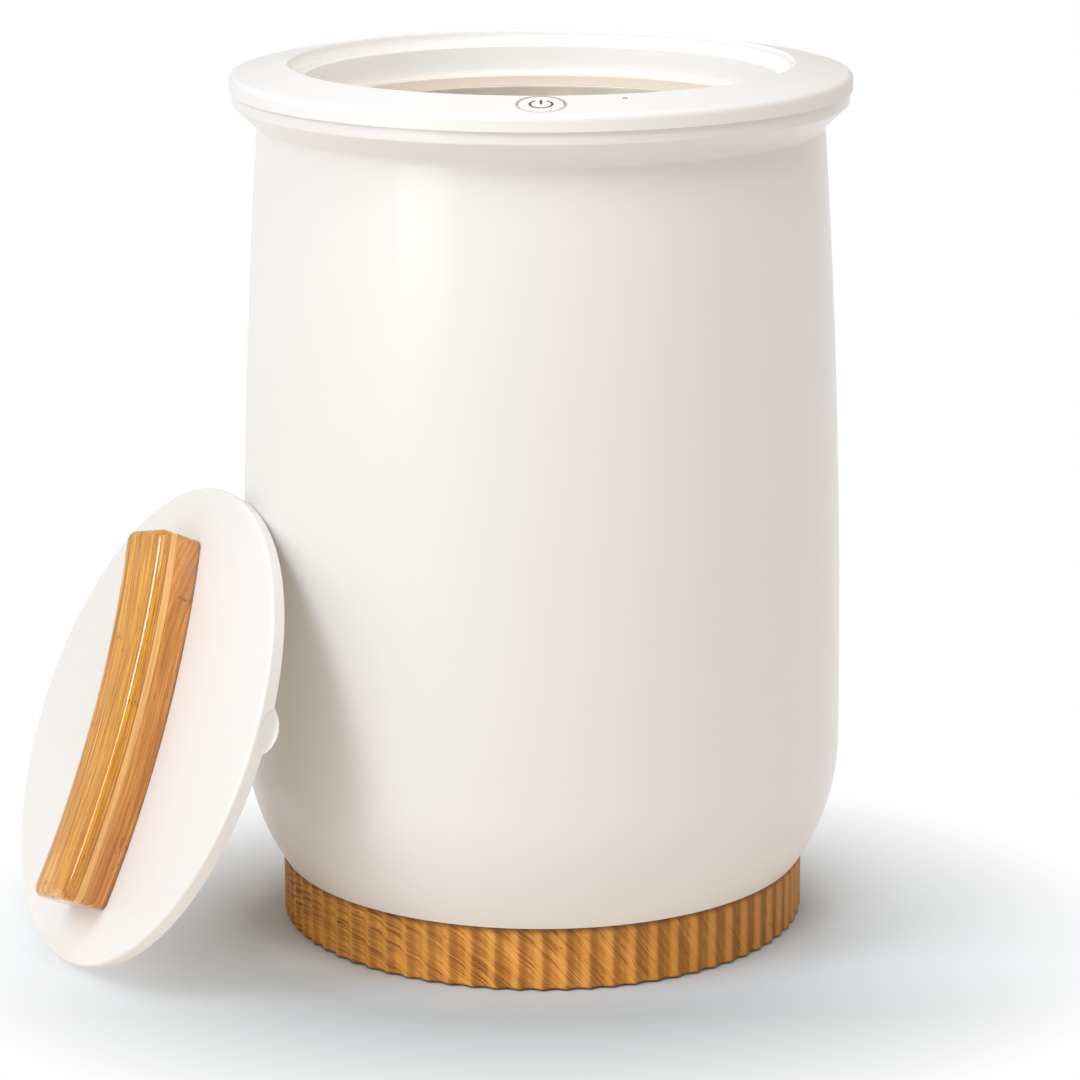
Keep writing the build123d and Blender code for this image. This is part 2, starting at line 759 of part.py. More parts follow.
def earth_screw():
    one = screw(screw_radius, earth_tag_thickness, screw_head_radius, screw_head_height)
    return Pos(0, earth_y, well_floor - earth_tag_thickness) * one


# --- electrics in the foot ---------------------------------------------------------------------
def board_corners():
    half_x = power_board_length / 2 - board_corner
    half_y = power_board_width / 2 - board_corner
    return [(x, power_board_y + y) for x in (-half_x, half_x) for y in (-half_y, half_y)]


def power_board():
    board = Box(power_board_length, power_board_width, board_thickness)
    board = Pos(0, power_board_y, (board_bottom + board_top) / 2) * board
    for x, y in board_corners():
        board -= rod(screw_radius + pass_play, 0, 2 * board_top, x, y)
    return board


def power_board_screws():
    length = board_thickness + standoff_height - boss_roof
    one = Rot(180, 0, 0) * screw(screw_radius, length, screw_head_radius, screw_head_height)
    return Compound(children=[Pos(x, y, board_top) * one for x, y in board_corners()])


def on_board(place, height):
    """Location over a place on the power board, a height above its top."""
    return Pos(place[0], power_board_y + place[1], board_top + height)


def power_relay():
    relay = on_board(relay_place, relay_size[2] / 2) * Box(*relay_size)
    return fillet(relay.edges().group_by(Axis.Z)[-1], case_round)


def terminal_block():
    width, depth, height = terminal_size
    block = on_board(terminal_place, height / 2) * Box(width, depth, height)
    for cell in (-terminal_pitch, 0, terminal_pitch):
        window = Pos(cell, depth / 2, terminal_window_height) * Box(*terminal_window)
        block -= on_board(terminal_place, 0) * window
        screw_hole = rod(terminal_screw, height - terminal_screw, height + cut_over, cell)
        block -= on_board(terminal_place, 0) * screw_hole
    return block


def mains_fuse():
    return on_board(fuse_place, fuse_radius + fuse_stand) * Rot(0, 90, 0) * Cylinder(fuse_radius, fuse_length)


def fuse_clips():
    width = 2 * (fuse_radius + clip_wall)
    clip = Pos(0, 0, clip_height / 2) * Box(clip_length, width, clip_height)
    cradle = Rot(0, 90, 0) * Cylinder(fuse_radius + bite_play, 2 * clip_length)
    clip -= Pos(0, 0, fuse_radius + fuse_stand) * cradle
    mouth = Box(clip_length + 2 * cut_over, 2 * fuse_radius - clip_mouth_narrow, clip_height)
    clip -= Pos(0, 0, clip_mouth_height + clip_height / 2) * mouth
    reach = fuse_length / 2 - clip_inset
    return Compound(children=[on_board(fuse_place, 0) * Pos(side, 0, 0) * clip for side in (-reach, reach)])


def filter_capacitor():
    can = on_board(capacitor_place, capacitor_height / 2) * Cylinder(capacitor_radius, capacitor_height)
    return fillet(can.edges().filter_by(GeomType.CIRCLE).group_by(Axis.Z)[-1], case_round)


def cord_gland():
    flange = Cylinder(gland_flange, gland_flange_thickness)
    flange = fillet(flange.edges().filter_by(GeomType.CIRCLE).group_by(Axis.Z)[-1], case_round)
    gland = Pos(0, 0, gland_flange_thickness / 2) * flange + rod(gland_body, -gland_length, 0)
    gland -= rod(gland_bore, -gland_length - cut_over, gland_flange_thickness + cut_over)
    return Pos(0, gland_face, gland_height) * Rot(-90, 0, 0) * gland


def gland_nut():
    inner_face = gland_face - 2 * shell_wall
    nut = extrude(RegularPolygon(gland_nut_radius, 6), gland_nut_thickness)
    nut -= rod(gland_body + bite_play, -cut_over, gland_nut_thickness + cut_over)
    return Pos(0, inner_face - gland_nut_thickness, gland_height) * Rot(-90, 0, 0) * nut


def control_cable():
    top_y = rim_radius - cable_top_inset
    under_board = ring_point(top_y, control_board_depth + board_thickness)
    start = under_board - cable_radius * math.tan(slope) - cable_play
    end_y = power_board_y - power_board_width / 2 + cable_board_reach
    route = FilletPolyline(
        (cable_x, -top_y, start),
        (cable_x, -top_y, cable_straight_bottom),
        (cable_x, cable_step[0] - top_y, cable_step[1]),
        (cable_x, cable_door_clear - seat_outer, board_bottom + cable_board_rise),
        (cable_x, end_y, board_top + cable_radius + cable_play),
        radius=cable_bend,
    )
    return sweep(Plane(origin=route @ 0, z_dir=route % 0) * Circle(cable_radius), route)


# --- controls ----------------------------------------------------------------------------------
def power_button():
    cap_radius = light_ring_radius - light_ring_width - button_play
    cap = sunk(cap_radius, 0, button_cap_depth)
    cap = fillet(cap.edges().filter_by(GeomType.CIRCLE).group_by(Axis.Z)[-1], button_cap_round)
    cap += sunk(button_flange_radius, button_cap_depth, button_under)
    return on_face(0, button_place, cap - symbol(symbol_depth, -cut_over))


def symbol(deep, shallow):
    """Plain power symbol, an open ring and a bar, between two depths."""
    half = symbol_line / 2
    middle = -(deep + shallow) / 2
    ring = sunk(symbol_radius + half, shallow, deep)
    ring -= sunk(symbol_radius - half, shallow - cut_over, deep + cut_over)
    mouth = Box(symbol_mouth, 2 * symbol_radius, deep - shallow + 2 * cut_over)
    bar = Pos(0, symbol_radius - symbol_bar_drop, middle) * Box(symbol_line, symbol_bar, deep - shallow)
    return ring - Pos(0, symbol_radius, middle) * mouth + bar


def power_symbol():
    return on_face(0, button_place, symbol(symbol_depth, 0))


def button_light_ring():
    ring = sunk(light_ring_radius, 0, light_ring_depth)
    ring -= sunk(light_ring_radius - light_ring_width, -cut_over, light_ring_depth + cut_over)
    return on_face(0, button_place, ring)


def indicator_window():
    """Slot-shaped lens, trimmed to the ring's conical face."""
    near = crest_radius - crest_round
    far = rim_radius - ring_edge_round
    face = spun([
        (near, ledge_height),
        (near, ring_point(near)),
        (far, ring_point(far)),
        (far, ledge_height),
    ])
    bar = indicator_bar(control_board_depth - led_height, -3 * cut_over)
    return on_face(indicator_x, indicator_place, bar) & face


def switch_plunger():
    return on_face(0, button_place, sunk(plunger_radius, button_under, button_under + plunger_length))


def tact_switch():
    body = Box(switch_size, switch_size, control_board_depth - switch_top)
    body = Pos(0, 0, -(switch_top + control_board_depth) / 2) * body
    bore_bottom = button_under + plunger_length + button_travel + plunger_end_play
    bore = sunk(plunger_radius + plunger_play, switch_top - cut_over, bore_bottom)
    return on_face(0, button_place, body - bore)


def led():
    return Pos(0, 0, -control_board_depth + led_height / 2) * Box(led_size, led_size, led_height)


def status_led():
    return on_face(indicator_x, indicator_place, led())


def ring_leds():
    one = Pos(light_ring_radius - led_inset, 0, 0) * led()
    return Compound(children=[on_face(0, button_place, Rot(0, 0, turn) * one) for turn in (0, 90, 180, 270)])


def light_guide():
    """Clear tube that carries light from the board up to the ring round the button."""
    outer = light_ring_radius - guide_play
    guide = sunk(outer, switch_top, control_board_depth - led_height)
    guide -= sunk(outer - guide_wall, switch_top - cut_over, control_board_depth)
    return on_face(0, button_place, guide)


def control_board():
    """Board that follows the ring's curve in front and behind."""
    width = control_board_left + control_board_right
    middle_x = (control_board_right - control_board_left) / 2
    board = Box(width, 2 * ring_width, board_thickness)
    board = on_face(0, button_place, Pos(middle_x, 0, -control_board_depth - board_thickness / 2) * board)
    board = board & rod(rim_radius - ring_skin - control_board_rim_play, 0, 2 * rim_height)
    board -= rod(crest_radius + rebate_skin + control_board_back_play, 0, 2 * rim_height)
    front = Box(4 * rim_radius, 2 * rim_radius, 2 * rim_height)
    board = board & (Pos(0, control_board_front - 1.5 * rim_radius, rim_height) * front)
    pass_hole = sunk(board_screw_radius + pass_play, 0, 3 * control_board_depth)
    for side in (-board_screw_x, board_screw_x):
        board -= on_face(side, button_place, pass_hole)
    return board


def control_board_screws():
    seat = control_board_depth + board_thickness
    length = seat - board_screw_bite - bite_play
    one = screw(board_screw_radius, length, board_screw_head, board_screw_head_height)
    one = Pos(0, 0, -seat) * one
    return Compound(children=[on_face(side, button_place, one) for side in (-board_screw_x, board_screw_x)])


# --- lid, drawn flat with its face at z = 0 and its handle above -------------------------------
def lid_shell():
    shell = spun([
        (0, 0),
        (lid_radius, 0),
        (lid_back_radius, -lid_edge),
        (lid_back_radius - lid_skirt, -lid_edge),
        (lid_back_radius - lid_skirt, -lid_skin),
        (0, -lid_skin),
    ])
    shell = fillet(round_edges(shell, lid_radius), lid_edge_round)
    band_bottom = -lid_edge - tongue_drop - cut_over
    band = tube(lid_back_radius, lid_back_radius - lid_skirt, band_bottom, -lid_edge + cut_over)
    round_end = Rot(0, 90, 0) * Cylinder(tongue_curve, 3 * lid_radius)
    shell += band & (Pos(0, 0, tongue_curve - tongue_drop - lid_edge) * round_end)
    ball = (scoop_half_width ** 2 + scoop_depth ** 2) / (2 * scoop_depth)
    reach = lid_back_radius + ball - scoop_depth
    for side in (-reach, reach):
        shell -= Pos(side, 0, -lid_edge - scoop_rise) * Sphere(ball)
    for y in handle_screw_places():
        shell -= rod(wood_screw_radius + pass_play, -2 * lid_edge, cut_over, handle_line_x(y), y)
    for x, y in lid_screw_places():
        shell += rod(boss_radius, lid_plate_top, -lid_skin / 2, x, y)
        shell -= rod(screw_radius + bite_play, -lid_edge, -plate_screw_gap / 2, x, y)
    return shell


def handle_radius():
    """Radius of the bar's middle line in plan."""
    return (handle_chord ** 2 / 4 + handle_bow ** 2) / (2 * handle_bow)


def handle_line_x(y):
    """Place across the lid of the bar's middle line."""
    return handle_end_x + handle_bow - handle_radius() + math.sqrt(handle_radius() ** 2 - y ** 2)


def handle_screw_places():
    return (-handle_screw_spread, 0.0, handle_screw_spread)


def lid_screw_places():
    reach = lid_back_radius - lid_skirt - lid_gasket_width - plate_screw_margin
    step = 360.0 / lid_plate_screw_count
    turns = [math.radians(lid_plate_screw_start + step * turn) for turn in range(lid_plate_screw_count)]
    return [(reach * math.cos(turn), reach * math.sin(turn)) for turn in turns]


def lid_handle():
    bend = handle_radius()
    bar = tube(bend + handle_width / 2, bend - handle_width / 2, 0, handle_height)
    span = Box(2 * bend, handle_chord + 2 * handle_end_trim, 2 * handle_height)
    bar = bar & (Pos(bend, 0, handle_height / 2) * span)
    bar = fillet(bar.edges().filter_by(Axis.Z), handle_corner)
    bar = fillet(bar.faces().sort_by(Axis.Z)[-1].edges(), handle_round)
    bar = Pos(handle_end_x + handle_bow - bend, 0, 0) * bar
    for y in handle_screw_places():
        bar -= rod(wood_screw_radius + bite_play, -cut_over, handle_screw_depth, handle_line_x(y), y)
    return bar


def handle_screws():
    under = -lid_skin - washer_thickness
    length = handle_screw_depth - handle_screw_gap - under
    one = screw(wood_screw_radius, length, wood_screw_head_radius, screw_head_height)
    return Compound(children=[Pos(handle_line_x(y), y, under) * one for y in handle_screw_places()])


def handle_washers():
    one = tube(washer_radius, wood_screw_radius + pass_play, -lid_skin - washer_thickness, -lid_skin)
    return Compound(children=[Pos(handle_line_x(y), y, 0) * one for y in handle_screw_places()])


def lid_plate():
    plate = rod(lid_back_radius - lid_skirt - lid_gasket_width, lid_plate_bottom, lid_plate_top)
    for x, y in lid_screw_places():
        plate -= rod(screw_radius + pass_play, -2 * lid_edge, 0, x, y)
    return plate


def lid_plate_screws():
    length = -lid_plate_bottom - plate_screw_gap
    one = screw(screw_radius, length, screw_head_radius, lid_plate_head)
    return Compound(children=[Pos(x, y, lid_plate_bottom) * one for x, y in lid_screw_places()])


def lid_gasket():
    outer = lid_back_radius - lid_skirt
    return tube(outer, outer - lid_gasket_width, -lid_edge - lid_gasket_lift, lid_plate_top)


def lid_insulation():
    pad = rod(lid_back_radius - lid_skirt - pad_play, lid_plate_top, -lid_skin)
    for y in handle_screw_places():
        pad -= rod(washer_room, -2 * lid_edge, 0, handle_line_x(y), y)
    for x, y in lid_screw_places():
        pad -= rod(boss_radius + pad_play, -2 * lid_edge, 0, x, y)
    return pad


def leaning_place():
    """Location of the lid: lowest edge on the floor, upper edge just off the wall."""
    lean = math.radians(lid_lean)
    heading = math.radians(lid_heading)
    bearing = math.radians(lid_bearing)
    out = Vector(math.cos(lean) * math.cos(heading), math.cos(lean) * math.sin(heading), math.sin(lean))
    right = out.cross(Vector(0, 0, 1)).normalized() * -1
    up = out.cross(right)
    spin = math.radians(lid_spin)
    tongue_way = right * math.cos(spin) + up * math.sin(spin)
    low = lid_back_radius * math.cos(lean) + lid_edge * math.sin(lean)
    turns = [math.radians(3 * step) for step in range(120)]
    back = [(right * math.cos(t) + up * math.sin(t)) * lid_back_radius - out * lid_edge for t in turns]

    def middle(reach):
        return Vector(reach * math.cos(bearing), reach * math.sin(bearing), low)

    def clearance(reach):
        spots = [middle(reach) + arm for arm in back]
        return min(math.hypot(spot.X, spot.Y) - wall_radius(spot.Z) for spot in spots)

    near = rim_radius * 0.6
    far = rim_radius * 3
    while far - near > 0.001:
        reach = (near + far) / 2
        if clearance(reach) > lid_gap:
            far = reach
        else:
            near = reach
    return Plane(origin=middle(far), x_dir=tongue_way, z_dir=out).location


bucket_pieces = {
    "outer_shell": outer_shell,
    "inlet_cover": inlet_cover,
    "shell_floor": shell_floor,
    "top_ring": top_ring,
    "lid_seat": lid_seat,
    "bamboo_base": bamboo_base,
    "anti_slip_ring": anti_slip_ring,
    "base_plate": base_plate,
    "base_plate_screws": base_plate_screws,
    "bamboo_screws": bamboo_screws,
    "well_collar": well_collar,
    "collar_gasket": collar_gasket,
    "inner_bucket": inner_bucket,
    "bucket_clamp": bucket_clamp,
    "clamp_screws": clamp_screws,
    "ring_screws": ring_screws,
    "bucket_seat": bucket_seat,
    "heater_belt": heater_belt,
    "reflector_foil": reflector_foil,
    "insulation_wrap": insulation_wrap,
    "thermostat": thermostat,
    "thermal_cutout": thermal_cutout,
    "sensor_strap": sensor_strap,
    "heat_sensor": heat_sensor,
    "earth_tag": earth_tag,
    "earth_screw": earth_screw,
    "power_board": power_board,
    "power_board_screws": power_board_screws,
    "power_relay": power_relay,
    "terminal_block": terminal_block,
    "mains_fuse": mains_fuse,
    "fuse_clips": fuse_clips,
    "filter_capacitor": filter_capacitor,
    "cord_gland": cord_gland,
    "gland_nut": gland_nut,
    "control_cable": control_cable,
    "power_button": power_button,
    "power_symbol": power_symbol,
    "button_light_ring": button_light_ring,
    "light_guide": light_guide,
    "indicator_window": indicator_window,
    "switch_plunger": switch_plunger,
    "tact_switch": tact_switch,
    "status_led": status_led,
    "ring_leds": ring_leds,
    "control_board": control_board,
    "control_board_screws": control_board_screws,
}

lid_pieces = {
    "lid_shell": lid_shell,
    "lid_handle": lid_handle,
    "handle_screws": handle_screws,
    "handle_washers": handle_washers,
    "lid_plate": lid_plate,
    "lid_plate_screws": lid_plate_screws,
    "lid_gasket": lid_gasket,
    "lid_insulation": lid_insulation,
}

os.makedirs("parts", exist_ok=True)
for name, make in bucket_pieces.items():
    export_step(make(), f"parts/{name}.step")
place = leaning_place()
for name, make in lid_pieces.items():
    export_step(place * make(), f"parts/{name}.step")
print("lid placed at", place)
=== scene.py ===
"""Looks of a towel warmer bucket: shell, bamboo foot, control ring, heated well and lift-off lid."""
import json
import logging
import math
from collections.abc import Callable, Sequence
from dataclasses import dataclass, field
from enum import Enum

import bmesh
import bpy
from mathutils import Matrix, Vector


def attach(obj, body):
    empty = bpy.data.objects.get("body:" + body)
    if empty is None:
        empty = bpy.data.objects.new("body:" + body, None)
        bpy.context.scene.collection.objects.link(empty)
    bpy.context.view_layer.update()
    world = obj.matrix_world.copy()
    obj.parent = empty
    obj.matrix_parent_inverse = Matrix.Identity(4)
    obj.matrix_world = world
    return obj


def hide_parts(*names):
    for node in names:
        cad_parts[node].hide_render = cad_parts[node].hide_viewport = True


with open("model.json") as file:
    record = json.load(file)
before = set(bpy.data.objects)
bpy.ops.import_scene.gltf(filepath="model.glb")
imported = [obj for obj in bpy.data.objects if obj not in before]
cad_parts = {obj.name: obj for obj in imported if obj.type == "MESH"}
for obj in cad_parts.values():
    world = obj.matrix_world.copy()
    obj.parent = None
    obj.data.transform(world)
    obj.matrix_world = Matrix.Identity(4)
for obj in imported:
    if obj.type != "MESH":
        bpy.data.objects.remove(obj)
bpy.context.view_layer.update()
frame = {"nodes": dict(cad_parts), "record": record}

MM = 0.001
WHITE = (1.0, 1.0, 1.0)
FLUTES = 72  # flutes round the bamboo foot
LAYER_JOINTS = (13.6, 18.0)  # heights of the two glue joints in the lid's bar, in millimetres
PLASTIC_IOR = 1.49  # how strongly clear and moulded plastics bend light
AXIS = 0.02  # radius left open on the axis of a solid turned piece, in millimetres
MERGE = 1e-7  # corners of a mesh closer than this are made one, in metres
ROUND_STEPS = 8  # steps in a rounded corner of an outline
SIDE_SHARE = 0.49  # share of an outline's side that a rounded corner may take
SHARP_ANGLE = math.radians(34.0)  # edges bent further than this stay sharp
log = logging.getLogger("towel_warmer")

Socket = bpy.types.NodeSocket
Value = Socket | float
Colour = tuple[float, float, float]
Place = tuple[float, float, float]
Point = tuple[float, float]
Span = tuple[float, float]  # where something starts and ends
Edge = tuple[Vector, Vector]  # a point of an outline and the outward direction there
Ring = list[bmesh.types.BMVert]


class Body(Enum):
    """Bodies of the part that the new pieces ride on."""

    BUCKET = "bucket"
    LID = "lid"


class Weave(Enum):
    """Surface structures of felt, foil and rubber."""

    NEEDLED = "needled"
    CRINKLED = "crinkled"
    RIBBED = "ribbed"


# --- materials ---------------------------------------------------------------------------------
class Graph:
    """A node tree, with short calls for adding and joining nodes."""

    def __init__(self, tree: bpy.types.NodeTree) -> None:
        """Keep the tree that the calls work on."""
        self.tree = tree

    def fill(self, node: bpy.types.Node, inputs: dict[str | int, Value | Sequence[float]]) -> None:
        """Give a node's input sockets links, numbers or colours.

        Args:
            node: the node.
            inputs: what each socket gets, by the socket's name or number.
        """
        for key, value in inputs.items():
            target = node.inputs[key]
            if isinstance(value, Socket):
                self.tree.links.new(value, target)
            elif target.type == "RGBA":
                target.default_value = (*value, 1.0)
            else:
                target.default_value = value

    def add(
        self, kind: str, inputs: dict[str | int, Value | Sequence[float]] | None = None, **settings: object
    ) -> bpy.types.Node:
        """Add a node.

        Args:
            kind: the node's type without its ShaderNode prefix.
            inputs: what its input sockets get.
            settings: attributes to set on it.

        Returns:
            The new node.
        """
        node = self.tree.nodes.new("ShaderNode" + kind)
        for key, value in settings.items():
            setattr(node, key, value)
        self.fill(node, inputs or {})
        return node

    def math(self, kind: str, *values: Value) -> Socket:
        """Return what a math operation makes of sockets or numbers."""
        return self.add("Math", dict(enumerate(values)), operation=kind).outputs[0]

    def times(self, one: Value, two: Value) -> Socket:
        """Return the product of two values."""
        return self.math("MULTIPLY", one, two)

    def times_plus(self, one: Value, two: Value, more: Value) -> Socket:
        """Return the product of two values with a third added."""
        return self.math("MULTIPLY_ADD", one, two, more)

    def plus(self, one: Value, two: Value) -> Socket:
        """Return the sum of two values."""
        return self.math("ADD", one, two)

    def minus(self, one: Value, two: Value) -> Socket:
        """Return the first value less the second."""
        return self.math("SUBTRACT", one, two)

    def larger(self, one: Value, two: Value) -> Socket:
        """Return the larger of two values."""
        return self.math("MAXIMUM", one, two)

    def apart(self, one: Value, two: Value) -> Socket:
        """Return how far apart two values are."""
        return self.math("ABSOLUTE", self.minus(one, two))

    def reach(self, x: Value, y: Value) -> Socket:
        """Return the distance of the point (x, y) from the origin."""
        return self.math("SQRT", self.plus(self.times(x, x), self.times(y, y)))

    def place(self) -> Socket:
        """Return the object coordinates, which are metres on every piece here."""
        return self.add("TexCoord").outputs["Object"]

    def split(self, vector: Socket) -> tuple[Socket, ...]:
        """Return the three parts of a vector."""
        return tuple(self.add("SeparateXYZ", {0: vector}).outputs)

    def unite(self, *parts: Value) -> Socket:
        """Return a vector made of three sockets or numbers."""
        return self.add("CombineXYZ", dict(enumerate(parts))).outputs[0]

    def noise(
        self, vector: Socket, scale: float, detail: float = 3.0, rough: float = 0.55, bend: float = 0.0
    ) -> Socket:
        """Make a noise texture.

        Args:
            vector: coordinates.
            scale: cells per metre.
            detail: octaves.
            rough: weight of the finer octaves.
            bend: distortion.

        Returns:
            The texture's value, about 0.5 on the mean.
        """
        inputs = {"Vector": vector, "Scale": scale, "Detail": detail, "Roughness": rough, "Distortion": bend}
        return self.add("TexNoise", inputs).outputs["Fac"]

    def stretch(self, vector: Socket, by: Sequence[float]) -> Socket:
        """Return coordinates scaled by three numbers."""
        return self.add("Mapping", {"Vector": vector, "Scale": by}).outputs[0]

    def shift(self, vector: Socket, by: Sequence[float]) -> Socket:
        """Return coordinates moved by three numbers."""
        return self.add("VectorMath", {0: vector, 1: by}, operation="ADD").outputs[0]

    def remap(
        self, value: Socket, low: float, high: float, to_low: float = 0.0, to_high: float = 1.0
    ) -> Socket:
        """Return a value moved from one range to another and held inside it."""
        inputs = {"Value": value, "From Min": low, "From Max": high, "To Min": to_low, "To Max": to_high}
        return self.add("MapRange", inputs).outputs["Result"]

    def blend(self, share: Value, one: Socket | Colour, two: Socket | Colour) -> Socket:
        """Return a mix of two colours that has this share of the second."""
        return self.add("Mix", {"Factor": share, 6: one, 7: two}, data_type="RGBA").outputs[2]


class NodeSheet(Graph):
    """A material and its nodes."""

    def __init__(self, name: str) -> None:
        """Start a material.

        Args:
            name: the material's name.
        """
        self.material = bpy.data.materials.new(name)
        self.material.use_nodes = True
        super().__init__(self.material.node_tree)
        self.shader = self.tree.nodes["Principled BSDF"]

    def set(self, **values: Value | Sequence[float]) -> None:
        """Fill the shader's own sockets, given by name with underscores for spaces."""
        self.fill(self.shader, {key.replace("_", " "): value for key, value in values.items()})

    def bump(self, height: Socket, depth: float, strength: float = 1.0) -> None:
        """Raise the surface by a map of 0 to 1, which stands for this depth in metres."""
        node = self.add("Bump", {"Strength": strength, "Distance": depth, "Height": height})
        self.set(Normal=node.outputs[0])


@dataclass(frozen=True)
class Finish:
    """A look that pieces share.

    Attributes:
        name: the material's name.
    """

    name: str

    def make(self) -> bpy.types.Material:
        """Make the material.

        Returns:
            The finished material.
        """
        sheet = NodeSheet(self.name)
        self.paint(sheet)
        return sheet.material

    def paint(self, sheet: NodeSheet) -> None:
        """Add the finish's own nodes to a new material."""
        raise NotImplementedError(self.name)


@dataclass(frozen=True)
class MouldedPlastic(Finish):
    """Injection-moulded plastic, from high gloss to matt.

    Attributes:
        tint: base colour, linear.
        shade: colour of the faint cloudiness in the moulding.
        rough: mean roughness.
        coat: weight of the clear outer gloss.
        grain: depth of the fine surface structure, in metres.
        grain_size: cells of that structure per metre.
    """

    tint: Colour
    shade: Colour
    rough: float = 0.32
    coat: float = 0.0
    grain: float = 0.000002
    grain_size: float = 500.0

    def paint(self, sheet: NodeSheet) -> None:
        """Paint the material.

        Args:
            sheet: the material's nodes.
        """
        place = sheet.place()
        cloud = sheet.noise(place, 14.0, 2.0)
        tone = sheet.blend(sheet.remap(cloud, 0.35, 0.7), self.tint, self.shade)
        smear = sheet.noise(place, 42.0, 4.0)
        rough = sheet.remap(smear, 0.3, 0.75, self.rough * 0.95, self.rough * 1.2)
        sheet.set(Base_Color=tone, Roughness=rough, IOR=PLASTIC_IOR)
        sheet.set(Coat_Weight=self.coat, Coat_Roughness=0.12)
        sheet.bump(sheet.noise(place, self.grain_size, 2.0), self.grain)


@dataclass(frozen=True)
class WrappedBamboo(Finish):
    """Satin bamboo whose fibres lie level on the left of the foot and stand upright on the right.

    Attributes:
        pale: lightest colour, linear, also used for the painted light on the left side and on each flute's
            lit flank.
        honey: main colour.
        brown: colour of the streaks, and of the painted shade on the right side and on each flute's shaded
            flank.
        dark: colour of pores and knuckles, and of the painted shade at the top and bottom edges and on the
            right side.
        rough: mean roughness of the lacquer.
        radius: radius that the grain runs round, in metres.
        flutes: number of flutes round the foot.
        top_shade: heights between which painted shade darkens the top edge, under the shell's overhang, in
            metres.
        low_shade: heights between which the painted contact shade at the bottom edge fades out, in metres.
        wander: how far the grain strays sideways, in metres.
    """

    pale: Colour
    honey: Colour
    brown: Colour
    dark: Colour
    rough: float = 0.34
    radius: float = 0.139
    flutes: int = FLUTES
    top_shade: Span = (0.0300, 0.0334)
    low_shade: Span = (0.0008, 0.0022)
    wander: float = 0.0026

    def turn(self, sheet: NodeSheet) -> Socket:
        """Return the angle round the foot, counted from its front, in radians."""
        x, y, _ = sheet.split(sheet.place())
        return sheet.math("ARCTAN2", x, sheet.times(y, -1.0))

    def fibre_place(self, sheet: NodeSheet) -> tuple[Socket, Socket]:
        """Work out coordinates that follow the fibres.

        Args:
            sheet: the material's nodes.

        Returns:
            Coordinates across and along the fibres, in metres.
        """
        _, _, z = sheet.split(sheet.place())
        turn = self.turn(sheet)
        swing = sheet.minus(turn, sheet.math("COSINE", turn))
        across = sheet.times_plus(swing, self.radius, z)
        along = sheet.minus(sheet.times(turn, self.radius * 0.8), sheet.times(z, 0.75))
        return across, along

    def side(self, sheet: NodeSheet) -> Socket:
        """Return the sine of the angle round the foot: -1 at its left, 1 at its right."""
        return sheet.math("SINE", self.turn(sheet))

    def flank(self, sheet: NodeSheet, share: float) -> Socket:
        """Return a wave that is 1 at a share of the way across each flute, from its left ridge."""
        wave = sheet.times_plus(self.turn(sheet), float(self.flutes), -2.0 * math.pi * share)
        return sheet.math("COSINE", wave)

    def paint(self, sheet: NodeSheet) -> None:
        """Paint the material.

        Args:
            sheet: the material's nodes.
        """
        across, along = self.fibre_place(sheet)
        wander = sheet.noise(sheet.unite(across, along, 0.0), 16.0, 2.0)
        bent = sheet.times_plus(wander, self.wander, across)

        def grain(fine: float, long: float, seed: float, *look: float) -> Socket:
            """Return noise drawn out along the fibres: cells per metre across and along, and a seed."""
            vector = sheet.unite(sheet.times(bent, fine), sheet.times(along, long), seed)
            return sheet.noise(vector, 1.0, *look)

        fibre = grain(1500.0, 24.0, 0.3, 3.0)
        band = grain(150.0, 10.0, 2.7, 3.0)
        streak = grain(980.0, 17.0, 5.1, 1.0)
        pore = grain(1500.0, 120.0, 8.4, 1.0)
        knot = grain(60.0, 34.0, 1.9, 3.0, 0.7, 1.5)
        tone = sheet.blend(sheet.remap(band, 0.36, 0.62), self.pale, self.honey)
        # painted light: the left side of the foot is paler, as if lit from the left
        tone = sheet.blend(sheet.remap(self.side(sheet), -0.75, -0.15, 0.75, 0.0), tone, self.pale)
        tone = sheet.blend(sheet.remap(fibre, 0.42, 0.70, 0.0, 0.7), tone, self.brown)
        tone = sheet.blend(sheet.remap(streak, 0.54, 0.64, 0.0, 0.9), tone, self.brown)
        right_shade = sheet.remap(self.side(sheet), 0.1, 1.0)  # painted shade: the right side of the foot darkens, away from the light
        tone = sheet.blend(sheet.times(right_shade, 0.80), tone, self.brown)
        tone = sheet.blend(sheet.times(sheet.times(right_shade, right_shade), 0.45), tone, self.dark)
        # painted shade on the flank just right of each ridge and painted highlight on the flank just left of
        # it, as if lit from the left
        tone = sheet.blend(sheet.remap(self.flank(sheet, 0.17), 0.0, 1.0, 0.0, 0.50), tone, self.brown)
        tone = sheet.blend(sheet.remap(self.flank(sheet, 0.80), 0.2, 1.0, 0.0, 0.5), tone, self.pale)
        knuckle = sheet.remap(knot, 0.70, 0.78, 0.0, 0.75)
        mark = sheet.larger(sheet.remap(pore, 0.68, 0.76, 0.0, 0.75), knuckle)
        _, _, z = sheet.split(sheet.place())
        # painted shade: darker at the top edge under the shell and at the bottom edge on the floor
        rim_shade = sheet.larger(sheet.remap(z, *self.top_shade, 0.0, 0.75), sheet.remap(z, *self.low_shade, 0.7, 0.0))
        tone = sheet.blend(sheet.larger(mark, rim_shade), tone, self.dark)
        sheet.set(Base_Color=tone, Roughness=sheet.remap(fibre, 0.3, 0.8, self.rough * 0.9, self.rough * 1.4))
        sheet.set(IOR=1.35, Specular_IOR_Level=0.25, Coat_Weight=0.3, Coat_Roughness=0.24, Coat_IOR=1.4)
        sheet.bump(sheet.minus(fibre, sheet.times(mark, 0.6)), 0.00012, 0.5)


